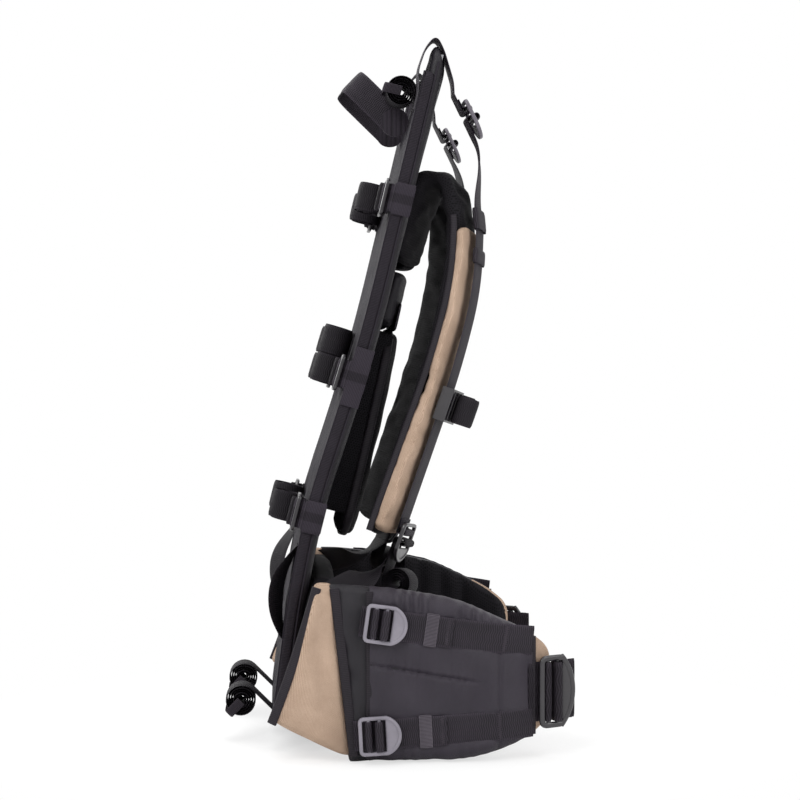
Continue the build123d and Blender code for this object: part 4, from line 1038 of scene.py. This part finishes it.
ROW_END, ROW_LIFT = 92, 14.8
KEEPER_AT, KEEPER_FOOT = 48, -7.0
ELASTIC = ribbed("grey_ribbed_elastic", (40, 37, 42), (100, 94, 102), pitch=1.15, slant=0.0, depth=0.2,
                 rough=0.65, width=11)


def row_place(name):
    """Placing function of a row: x along the strap, which slopes down by its degrees from its start,
    y up across it, z outwards on the wing."""
    x0, z0, slope = ROWS[name]
    start = wing_at(x0)
    c, s = math.cos(math.radians(slope)), math.sin(math.radians(slope))

    def place(points):
        x, y, z = np.asarray(points, float).T
        return on_wing(start + x * c + y * s, ROW_LIFT + LOCK_STAND + z, z0 - x * s + y * c)
    return place


def row_webbing(name):
    """Anchor webbing, and the strap: its free layer and its sewn layer with the end at the tip."""
    x0, _, slope = ROWS[name]
    start = wing_at(x0)
    end = (wing_at(ROW_END + 3) - start) / math.cos(math.radians(slope))
    line = tight(threaded_path(end, 66), 1.2)
    loose = np.clip((line[:, 0] - 14) / 20, 0, 1) * (line[:, 2] > LEG_LOW + 0.8)
    line[:, 2] += 0.35 * np.sin(line[:, 0] / 8) * loose
    return [belt_of(tight(anchor_path(12)), row_place(name)), belt_of(line, row_place(name))]


def arch(x, half, top, width):
    """Elastic band over a strap: up one side, over and down the other, as a path at one x."""
    path = soft_line([(-half, KEEPER_FOOT), (-half, top), (half, top), (half, KEEPER_FOOT)], 1.6, 1.0)
    return carry(spots(x, path[:, 0], path[:, 1]), (1, 0, 0), superellipse(width, 1.1, 2.8, 14))


def bar_tack(x, half, z, place):
    """Dense zigzag of thread across a strap: a line that turns back at each edge."""
    turns = np.arange(2 * 12 + 1)
    zig = spots(x + (turns % 2) * 2.4, np.linspace(-half, half, len(turns)), z)
    lines = [place(zig + (k * 0.5, 0, 0)) for k in range(4)]
    out = place(np.array([(x, 0, 1.0)])) - place(np.array([(x, 0, 0.0)]))
    return stitch_rows(lines, out, 1.2, 1.15, 0.4)


for side, turn in SIDES:
    body = side + "_wing"
    rows = [turn(part) for name in ROWS for part in row_webbing(name)]
    piece(side + "_wing_row_webbing", rows, WEBBING, body, [side + "_wing_webbing"])
    keepers = [turn(placed(arch(KEEPER_AT, 13.8, LEG_HIGH + 1.3, 10.5), row_place(name))) for name in ROWS]
    piece(side + "_wing_keeper_bands", keepers, ELASTIC, body, [side + "_wing_keepers"])
    tacks = [turn(bar_tack(x, 11, LEG_LOW + (1.0 if x > 70 else 2.4), row_place(name)))
             for name in ROWS for x in (60, 106)]
    piece(side + "_wing_row_stitches", tacks, THREAD, body)
    for name in ROWS:
        lock = placed(ONE_INCH_LOCK, row_place(name))
        lock_piece(side + "_wing_row_lock_" + name, turn(lock), GREY_LOCK, side + "_wing_lock_" + name)

# ============================================================ two-inch lock at each wing's end
# Two-inch webbing sewn under the tan tip carries a black two-inch lock; the waist strap's short folded
# end stands out of its nose.

BELT_WEBBING = ribbed("belt_webbing", (13, 11, 14), (48, 43, 50), pitch=1.9, slant=0.8, depth=0.24,
                      rough=0.55, width=TWO_INCH)
TWO_INCH_LOCK = ladder_lock(TWO_INCH, 5)
TWO_INCH_OUTLINE = superellipse(50.4, 1.9, 3.2, 30)
belt_along = np.array((60.0, 28.0, 0)) / math.hypot(60, 28)
belt_out = np.array((belt_along[1], -belt_along[0], 0))
belt_y = -BELT_Y + (BELT_LOCK_AT - WING_BEND) * belt_along[1] / belt_along[0]
belt_origin = np.array((BELT_LOCK_AT, belt_y, 57)) + belt_out * (BELT_T / 2 + LOCK_STAND)
belt_place = lock_place(belt_origin, belt_along, belt_out)
tail_line = tight(threaded_path(31, 28), 0.9)
for side, turn in SIDES:
    anchor = belt_of(tight(anchor_path(17)), belt_place, TWO_INCH_OUTLINE)
    piece(side + "_belt_anchor_webbing", turn(anchor), BELT_WEBBING,
          side + "_wing", [side + "_belt_webbing"])
    lock_piece(side + "_belt_lock_frame", turn(placed(TWO_INCH_LOCK, belt_place)), BLACK_LOCK,
               side + "_belt_lock")
    piece(side + "_belt_strap_end", turn(belt_of(tail_line, belt_place, TWO_INCH_OUTLINE)), BELT_WEBBING,
          side + "_belt_lock", [side + "_belt_tail"])

# ============================================================ webbing rails, lower locks and sliders
# One-inch webbing stands off each strap's tan cover as a rail for the sternum slider. Below, it is
# sewn round a black lock, from which a twisted strap runs to the seam between base panel and wing.

COVER_T, RAIL_GAP = 5, 0.6
RAIL_MID = STRAP_T / 2 + COVER_T + RAIL_GAP


def strap_run(z, shift):
    """Point at height z on the strap's straight front run moved outwards, the run and the way out."""
    high, low = strap_plane(STRAP_LINE)[-3:-1]
    along = (low - high) / np.linalg.norm(low - high)
    out = np.array((-along[1], along[0]))
    point = high + along * (z - high[1]) / along[1] + out * shift
    return tuple(np.array((x, 0, z)) for x, z in (point, along, out))


lower_origin, lower_along, lower_out = strap_run(190, RAIL_MID - LEG_LOW)
in_strap = lock_place(lower_origin, lower_along, lower_out)


def lower_place(points):
    """From the lower lock's frame to the part."""
    return strap_place(in_strap(points))


rail_part = strap_in + strap_out * RAIL_MID
on_strap = (strap_travel > cover_start - 60) & (rail_part[:, 0] > 0)
rail_part = rail_part[on_strap & (rail_part[:, 2] > 206) & (rail_part[:, 2] < 464)]
rail_line = np.concatenate([rail_part, in_strap(tight(anchor_path(11)[1:], 0.9))])
rail_line = spaced(rail_line, 1.1)
rail = placed(carry(rail_line, (0, 1, 0), WEB_OUTLINE), strap_place)
rail_run = directions(rail_line)


def rail_band(height, tall, deep):
    """Webbing loop round the rail at one height: a flat ring carried closed."""
    k = np.argmin(np.abs(rail_line[:, 2] - height) + 100 * (rail_line[:, 0] < 20))
    along = rail_run[k]
    out = np.array((-along[2], 0, along[0])) * np.sign(-along[2])
    ring = superellipse(27.4, deep, 4, 48)
    ring = np.concatenate([ring, ring[:1]])
    return placed(carry(rail_line[k] + ring[:, :1] * np.array((0, 1, 0)) + ring[:, 1:] * out, along,
                        superellipse(tall, 1.1, 3, 12), closed=True), strap_place)


rail_bands = [rail_band(457, 19, 5.2), rail_band(424, 13, 4.6)]
piece("rail_webbing", both_sides([rail]) + both_sides(rail_bands),
      WEBBING, "frame", ["webbing_rails"])

ROLL_CORE, ROLL_PITCH, LOAD_TURNS, SLIDER_TURNS = 3.2, 2.15, 5, 3


def roll_radius(turns):
    """Outer radius of a strap wound so many turns."""
    return ROLL_CORE + ROLL_PITCH * turns


def wound(turns, lead, sway):
    """Rolled strap in its own plane: an Archimedean spiral from the core outwards, its radius growing
    by the pitch a turn, then a straight lead of webbing. sway moves the turns a little sideways."""
    reach = roll_radius(turns)
    angle = np.linspace(-2 * np.pi * turns, 0, int(26 * turns))
    radius = reach + ROLL_PITCH * angle / (2 * np.pi)
    q = np.linspace(0, lead, max(2, round(lead / 2)))[1:]
    x = np.concatenate([np.cos(angle) * radius, np.full(len(q), reach)])
    y = np.concatenate([np.sin(angle) * radius, q])
    side = np.concatenate([sway * np.sin(angle * 0.37), np.zeros(len(q))])
    return np.stack([x, y, side], axis=1)


ROLL_OUTLINE = superellipse(25.0, 1.55, 3.4, 18)
# A darker copy of the black webbing with painted shade in its colour, for the straps that are rolled up or
# lie low and behind the frame.
SHADED_WEBBING = ribbed("webbing_painted_shade", (9, 8, 10), (38, 34, 40), pitch=1.7, slant=0.9, depth=0.24,
                      rough=0.6,
                      Specular_IOR_Level=0.15)


def rolled(centre, out, leave, turns, lead, place=lambda points: points, sway=0.5):
    """A wound strap whose outer end lies on the side "out" of its centre and runs along "leave"."""
    path = wound(turns, lead, sway)
    out, leave = np.array(out, float), np.array(leave, float)
    across = np.cross(out, leave)
    line = np.array(centre, float) + path[:, :1] * out + path[:, 1:2] * leave + path[:, 2:] * across
    return placed(carry(line, across, ROLL_OUTLINE), place)


lower_roll = rolled((43.5, 0, LEG_HIGH + roll_radius(LOAD_TURNS)), (0, 0, -1), (-1, 0, 0), LOAD_TURNS, 16.5,
                    lower_place)
lower_loop = belt_of(tight(threaded_path(27, 29)), lower_place)
seam_z = 135.0
seam_x = HINGE_FLOOR_X + (HINGE_TOP_X - HINGE_FLOOR_X) * seam_z / BELT_TOP - 9
seam_end = np.array((seam_x, -BELT_Y + BELT_T / 2 + 0.9, seam_z))


def ribbon(start, start_run, start_across, end, end_run, end_across, outline):
    """Twisted webbing between two ends: a cubic curve with the given directions, its across direction
    turned evenly from one end's to the other's."""
    t = np.linspace(0, 1, 46)[:, None]
    reach = np.linalg.norm(end - start) / 3
    near, far = start + start_run * reach, end - end_run * reach
    line = start * (1 - t) ** 3 + near * (3 * t * (1 - t) ** 2) + far * (3 * t**2 * (1 - t)) + end * t**3
    return carry(line, start_across * (1 - t) + end_across * t, outline)


lower_start = lower_place(np.array([(25.5, 0, LEG_LOW)]))[0]
lower_run = lower_place(np.array([(27.2, 0, LEG_LOW - 1)]))[0] - lower_start
lower_run /= np.linalg.norm(lower_run)
lower_across = lower_place(np.array([(25.5, 1, LEG_LOW)]))[0] - lower_start
last_run = (seam_end - lower_start) / np.linalg.norm(seam_end - lower_start)
last_across = np.cross((0, 1, 0), last_run)
base_strap = ribbon(lower_start, lower_run, lower_across, seam_end, last_run,
                    last_across / np.linalg.norm(last_across), WEB_OUTLINE)
lower_parts = [lower_loop, lower_roll, base_strap]
piece("lower_strap_bands", both_sides(lower_parts), SHADED_WEBBING, "frame",
      ["lower_strap_webbing"])
for side, turn in SIDES:
    lock_piece(side + "_shoulder_lock_frame", turn(placed(ONE_INCH_LOCK, lower_place)), BLACK_LOCK,
               side + "_shoulder_lock")

slider_origin, slider_along, slider_out = strap_run(300, RAIL_MID)
HALF_WEB, SLIDER_WALL, SLIDER_SLOT, CLEAR = 0.9, 1.6, 3, 0.3
slider_front = HALF_WEB + 3 * SLIDER_WALL + SLIDER_SLOT
slider_centre = slider_front + CLEAR + roll_radius(SLIDER_TURNS) + 0.8
slider_side = ONE_INCH / 2 + CLEAR - 2 * SLIDER_WALL - roll_radius(SLIDER_TURNS)
in_slider = lock_place(slider_origin, slider_out, -slider_along)


def slider_place(points):
    """From the slider's frame, x outwards and z up along the rail, to the part."""
    return strap_place(in_slider(points))


hanging = rolled((slider_centre, slider_side, 0), (0, 1, 0), (-1, 0, 0), SLIDER_TURNS,
                 slider_centre - 0.9 - 1.9, slider_place, 0.8)
EASE = 0.5


def eased(node_name, name, finish, body):
    """Copy of a moulded node of the drawing with its edges eased by a bevel of EASE millimetres."""
    made = bpy.data.objects.new(name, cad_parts[node_name].data.copy())
    bpy.context.collection.objects.link(made)
    form = bmesh.new()
    form.from_mesh(made.data)
    bmesh.ops.remove_doubles(form, verts=form.verts, dist=1e-6)
    bmesh.ops.dissolve_limit(form, angle_limit=0.01, verts=form.verts, edges=form.edges)
    form.to_mesh(made.data)
    form.free()
    made.data.materials.clear()
    made.data.materials.append(finish)
    made.data.shade_smooth()
    made.data.set_sharp_from_angle(angle=math.radians(40))
    edge = made.modifiers.new("ease", "BEVEL")
    edge.width, edge.segments = EASE / 1000, 2
    edge.limit_method, edge.angle_limit = "ANGLE", math.radians(35)
    edge.harden_normals = True
    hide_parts(node_name)
    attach(made, body)
    return made


for side, turn in SIDES:
    eased(side + "_sternum_slider", side + "_sternum_slider_frame", BLACK_LOCK, side + "_sternum_slider")
    piece(side + "_sternum_strap_roll", turn(hanging), SHADED_WEBBING, side + "_sternum_slider",
          [side + "_sternum_strap"])

# ============================================================ load straps on the frame's edges
# Three webbing tabs a side are sewn round the frame's edge and hold ladder-locks on its back, each with
# a strap that is rolled up past the lock's nose; the middle ones are two rolls side by side.

SIDE_STRAPS = {"upper": (478, 28, 1), "middle": (325, 52, 2), "lower": (204, 28, 1)}


def side_place(name):
    """Placing function of a load strap's lock behind the frame's right edge."""
    z = SIDE_STRAPS[name][0]
    out = -frame_out(np.array(float(z)))
    origin = np.array((frame_rear(z), 0, z)) + out * 9
    return lock_place((origin[0], 14.5 - FRAME_HALF, origin[2]), (0, 1, 0), out)


tabs = []
for name, (_, height, count) in SIDE_STRAPS.items():
    path = [(-15.4, -24.6), (-15.4, LEG_LOW)] + anchor_path(12.4)[1:]
    tabs.append(belt_of(tight(path), side_place(name)))
    plate = soft_line([(-16.6, -24.0), (-16.6, LEG_LOW - 1.4)], 1, 1.5)
    tabs.append(placed(carry(in_side_view(plate, 0), (0, 1, 0), superellipse(height, 2.2, 3.2, 26)),
                       side_place(name)))
piece("load_strap_tabs", both_sides(tabs), EDGE_TAPE, "frame", ["side_strap_tabs"])
for name, (_, height, count) in SIDE_STRAPS.items():
    place = side_place(name)
    reach = roll_radius(LOAD_TURNS)
    free = LOCK_NOSE + 2
    centre = free + reach + 1.6
    strap = [belt_of(tight(threaded_path(free - 8, free)), place)]
    for k in range(count):
        strap.append(rolled((centre, -k * 25.7, LEG_HIGH + reach), (0, 0, -1), (-1, 0, 0), LOAD_TURNS,
                            centre - free + (-2 if k else 0.5),
                            place, 0.6 + 0.3 * k))
    for side, turn in SIDES:
        body = side + "_side_lock_" + name
        lock_piece(side + "_load_lock_" + name, turn(placed(ONE_INCH_LOCK, place)), BLACK_LOCK, body)
        piece(side + "_load_strap_" + name, [turn(part) for part in strap], SHADED_WEBBING, body,
              [side + "_side_strap_" + name])

# ============================================================ rolled straps at top and bottom
# A rolled strap hangs at the frame's top on the right, and one from each lower corner of the base. A
# narrow elastic keeper is sewn round each.

BLACK_ELASTIC = ribbed("black_ribbed_elastic", (16, 14, 18), (64, 58, 66), pitch=1.2, slant=0.0, depth=0.18,
                       rough=0.6, width=9)
TOP_ROLL_Y, TOP_ROLL_Z = -58.45, 573
reach = roll_radius(LOAD_TURNS)
back = -frame_out(np.array(float(TOP_ROLL_Z)))
top_centre = np.array((frame_rear(TOP_ROLL_Z), TOP_ROLL_Y, TOP_ROLL_Z)) + back * (reach + 0.8 + 0.3)
down = np.array((back[2], 0, -back[0]))
down = down * -np.sign(down[2])
rolls = [rolled(top_centre, -back, down, LOAD_TURNS, 26, sway=1.0)]


def keeper(centre, out, leave):
    """Narrow elastic band over a roll, from one of its sides round the free side to the other."""
    out, leave = np.array(out, float), np.array(leave, float)
    across = np.cross(out, leave)
    far = -(reach + 1.9)
    path = soft_line([(0, -13.6), (far, -13.6), (far, 13.6), (0, 13.6)], 2.5, 1.2)
    line = np.array(centre, float) + path[:, :1] * out + path[:, 1:] * across
    return carry(line, leave, superellipse(8.6, 1.1, 2.8, 14))


keepers = [keeper(top_centre, -back, down)]
slope = math.sqrt(0.5)
for y in (-56, 56):
    low_roll = (-146, y, 36), (slope, 0, slope), (slope, 0, -slope)
    rolls.append(rolled(*low_roll, LOAD_TURNS, 25, sway=0.9))
    keepers.append(keeper(*low_roll))
piece("rolled_load_straps", rolls, SHADED_WEBBING, "frame", ["load_strap_rolls"])
piece("roll_keeper_bands", keepers, BLACK_ELASTIC, "frame", ["elastic_keepers"])

# ============================================================ grab handle and back loops
# A webbing loop at the top of the back is the grab handle; it swings about its sewn roots. Low on the
# back a slack, twisted webbing loop is sewn beside each edge.

handle_out = -frame_out(np.array(550.0))
pivot = np.array((frame_rear(550), 0, 550)) + handle_out * 13.0
turn_up = math.radians(136)
handle_along = np.array((math.cos(turn_up), 0, math.sin(turn_up)))
handle_wide = np.array((handle_along[2], 0, -handle_along[0]))
path = soft_line([(0, -38), (56, -38), (56, 38), (0, 38)], 14, 1.5)
handle_line = pivot + path[:, :1] * handle_along + path[:, 1:] * np.array((0, 1, 0))
handle_line = handle_line + np.outer(1.2 * np.sin(path[:, 1] / 13), handle_along)
handle_parts = [carry(handle_line, handle_wide, WEB_OUTLINE)]
discs = []
for y in (-38, 38):
    ring_at = np.stack([np.zeros(7), np.linspace(-0.9, 0.9, 7), np.zeros(7)], axis=1) + pivot + (0, y, 0)
    discs.append(carry(ring_at, (1, 0, 0), superellipse(25.2, 25.2, 2.2, 30)))
piece("grab_handle_webbing", handle_parts + discs, WEBBING, "grab_handle", ["grab_handle"])

loop_path = soft_line([(frame_rear(178) - 1.1, 178), (-114, 148), (-116, 122), (frame_rear(97) - 1.1, 97)],
                      step=2.0)
twist = math.radians(32) * np.sin(np.pi * np.linspace(0, 1, len(loop_path))) ** 0.7
loop_across = np.stack([np.sin(twist), np.cos(twist), 0 * twist], axis=1)
back_loop = carry(in_side_view(loop_path, -95), loop_across, WEB_OUTLINE)
piece("back_loop_webbing", both_sides([back_loop]), SHADED_WEBBING, "frame", ["back_loops"])

# ============================================================ load lifters
# From behind each stay's top a strap comes over the gathered sleeve to a ladder-lock, and webbing runs
# from the lock down to the top of the shoulder strap's rail.

lifter_lock_at, lifter_angle = (53, 557), math.radians(-64)
lifter_along = np.array((math.cos(lifter_angle), 0, math.sin(lifter_angle)))
lifter_out = np.array((-math.sin(lifter_angle), 0, math.cos(lifter_angle)))
lifter_place = lock_place((lifter_lock_at[0], -STAY_Y, lifter_lock_at[1]), lifter_along, lifter_out)
rear_run = [(float(frame_rear(z)) - 1.4, z) for z in (556, 574)]
anchor_run = lifter_place(in_side_view([(-17, LEG_LOW)] + anchor_path(11)[1:], 0))[:, [0, 2]]
over_tip = [(8.5, 590), (15.5, 610), (24.5, 620), (31, 608), (39.4, 580)]
over_top = soft_line(rear_run + over_tip + [tuple(anchor_run[0])], 7, 1.0)
upper = np.concatenate([over_top[:-1], soft_line(anchor_run, 2.6, 0.9)])
upper_strap = carry(in_side_view(upper, -STAY_Y), (0, 1, 0), WEB_OUTLINE)
lifter_loop = belt_of(tight(threaded_path(26, 21.6)), lifter_place)
lifter_start = lifter_place(np.array([(25.2, 0, LEG_LOW)]))[0]
rail_top = strap_place(rail_line[:1])[0]
rail_run = strap_place(rail_line[1:2])[0] - rail_top
rail_run /= np.linalg.norm(rail_run)
rail_across = strap_place(rail_line[:1] + (0, 1, 0))[0] - rail_top
lifter_low = ribbon(lifter_start, lifter_along, np.array((0, 1.0, 0)), rail_top, rail_run, rail_across,
                    WEB_OUTLINE)
lifter_parts = [upper_strap, lifter_loop, lifter_low]
piece("lifter_straps", both_sides(lifter_parts), WEBBING, "frame", ["lifter_webbing"])
for side, turn in SIDES:
    lock_piece(side + "_lifter_lock_frame", turn(placed(ONE_INCH_LOCK, lifter_place)), DARK_LOCK,
               side + "_lifter_lock")

# ============================================================ floor, light and camera
# A white floor that takes the object's shadow near it and shows plain white to the camera further
# away, a white world, large soft lamps, and a long lens at the photograph's side view.

floor_mesh = bpy.data.meshes.new("floor")
floor_mesh.from_pydata([(-6, -6, 0), (6, -6, 0), (6, 6, 0), (-6, 6, 0)], [], [(0, 1, 2, 3)])
floor = bpy.data.objects.new("floor", floor_mesh)
bpy.context.collection.objects.link(floor)
floor_finish = bpy.data.materials.new("floor_white")
floor_finish.use_nodes = True
tree = floor_finish.node_tree
tree.nodes.clear()
diffuse = node(tree, "BsdfDiffuse", (0.93, 0.93, 0.93, 1.0))
white = node(tree, "Emission", (1.0, 1.0, 1.0, 1.0), 1.0)
ray = tree.nodes.new("ShaderNodeLightPath")
away = node(tree, "VectorMath", body_place(tree), (1.0, 1.25, 0.0), operation="MULTIPLY")
away = node(tree, "VectorMath", away, operation="LENGTH", out=1)
SHADED_TO, WHITE_FROM, LEAST_WHITE = 120.0, 420.0, 0.55
seen = node(tree, "MapRange", away, SHADED_TO, WHITE_FROM, LEAST_WHITE, 1.0, clamp=True)
seen = calc(tree, "MULTIPLY", ray.outputs["Is Camera Ray"], seen)
blended = node(tree, "MixShader", seen, diffuse, white)
tree.links.new(blended, tree.nodes.new("ShaderNodeOutputMaterial").inputs["Surface"])
floor_mesh.materials.append(floor_finish)

world = bpy.data.worlds.new("studio")
bpy.context.scene.world = world
world.use_nodes = True
tree = world.node_tree
tree.nodes.clear()
ray = tree.nodes.new("ShaderNodeLightPath")
plain = calc(tree, "MAXIMUM", ray.outputs["Is Camera Ray"],
             calc(tree, "MAXIMUM", ray.outputs["Is Glossy Ray"], ray.outputs["Is Transmission Ray"]))
soft = node(tree, "Background", (1.0, 1.0, 1.0, 1.0), 0.55)
bright = node(tree, "Background", (1.0, 1.0, 1.0, 1.0), 1.0)
tree.links.new(node(tree, "MixShader", plain, soft, bright),
               tree.nodes.new("ShaderNodeOutputWorld").inputs["Surface"])

LAMPS = [("key", (-1.1, -1.7, 1.9), 1.4, 34), ("fill", (1.7, -1.5, 1.1), 1.6, 20),
         ("top", (0.0, 0.2, 2.3), 1.8, 26), ("rear", (-1.2, 1.5, 1.3), 1.4, 18)]
LAMP_AIM = Vector((0, 0, 0.3))
for name, place, size, power in LAMPS:
    lamp = bpy.data.lights.new(name, "AREA")
    lamp.energy, lamp.size, lamp.shape = power, size, "DISK"
    made = bpy.data.objects.new(name, lamp)
    bpy.context.collection.objects.link(made)
    made.location = place
    made.rotation_euler = (LAMP_AIM - Vector(place)).to_track_quat("-Z", "Y").to_euler()

LENS, EYE, LOOK_DOWN, LOOK_ASIDE = 77.5, (-0.1018, -1.5961, 0.334), 1.164, -4
camera = bpy.data.objects.new("camera", bpy.data.cameras.new("camera"))
bpy.context.collection.objects.link(camera)
camera.data.lens, camera.data.sensor_width = LENS, 36
camera.data.clip_end = 50
camera.location = EYE
camera.rotation_euler = (math.radians(90 - LOOK_DOWN), 0, math.radians(LOOK_ASIDE))
bpy.context.scene.camera = camera
bpy.context.scene.view_settings.view_transform = "Standard"
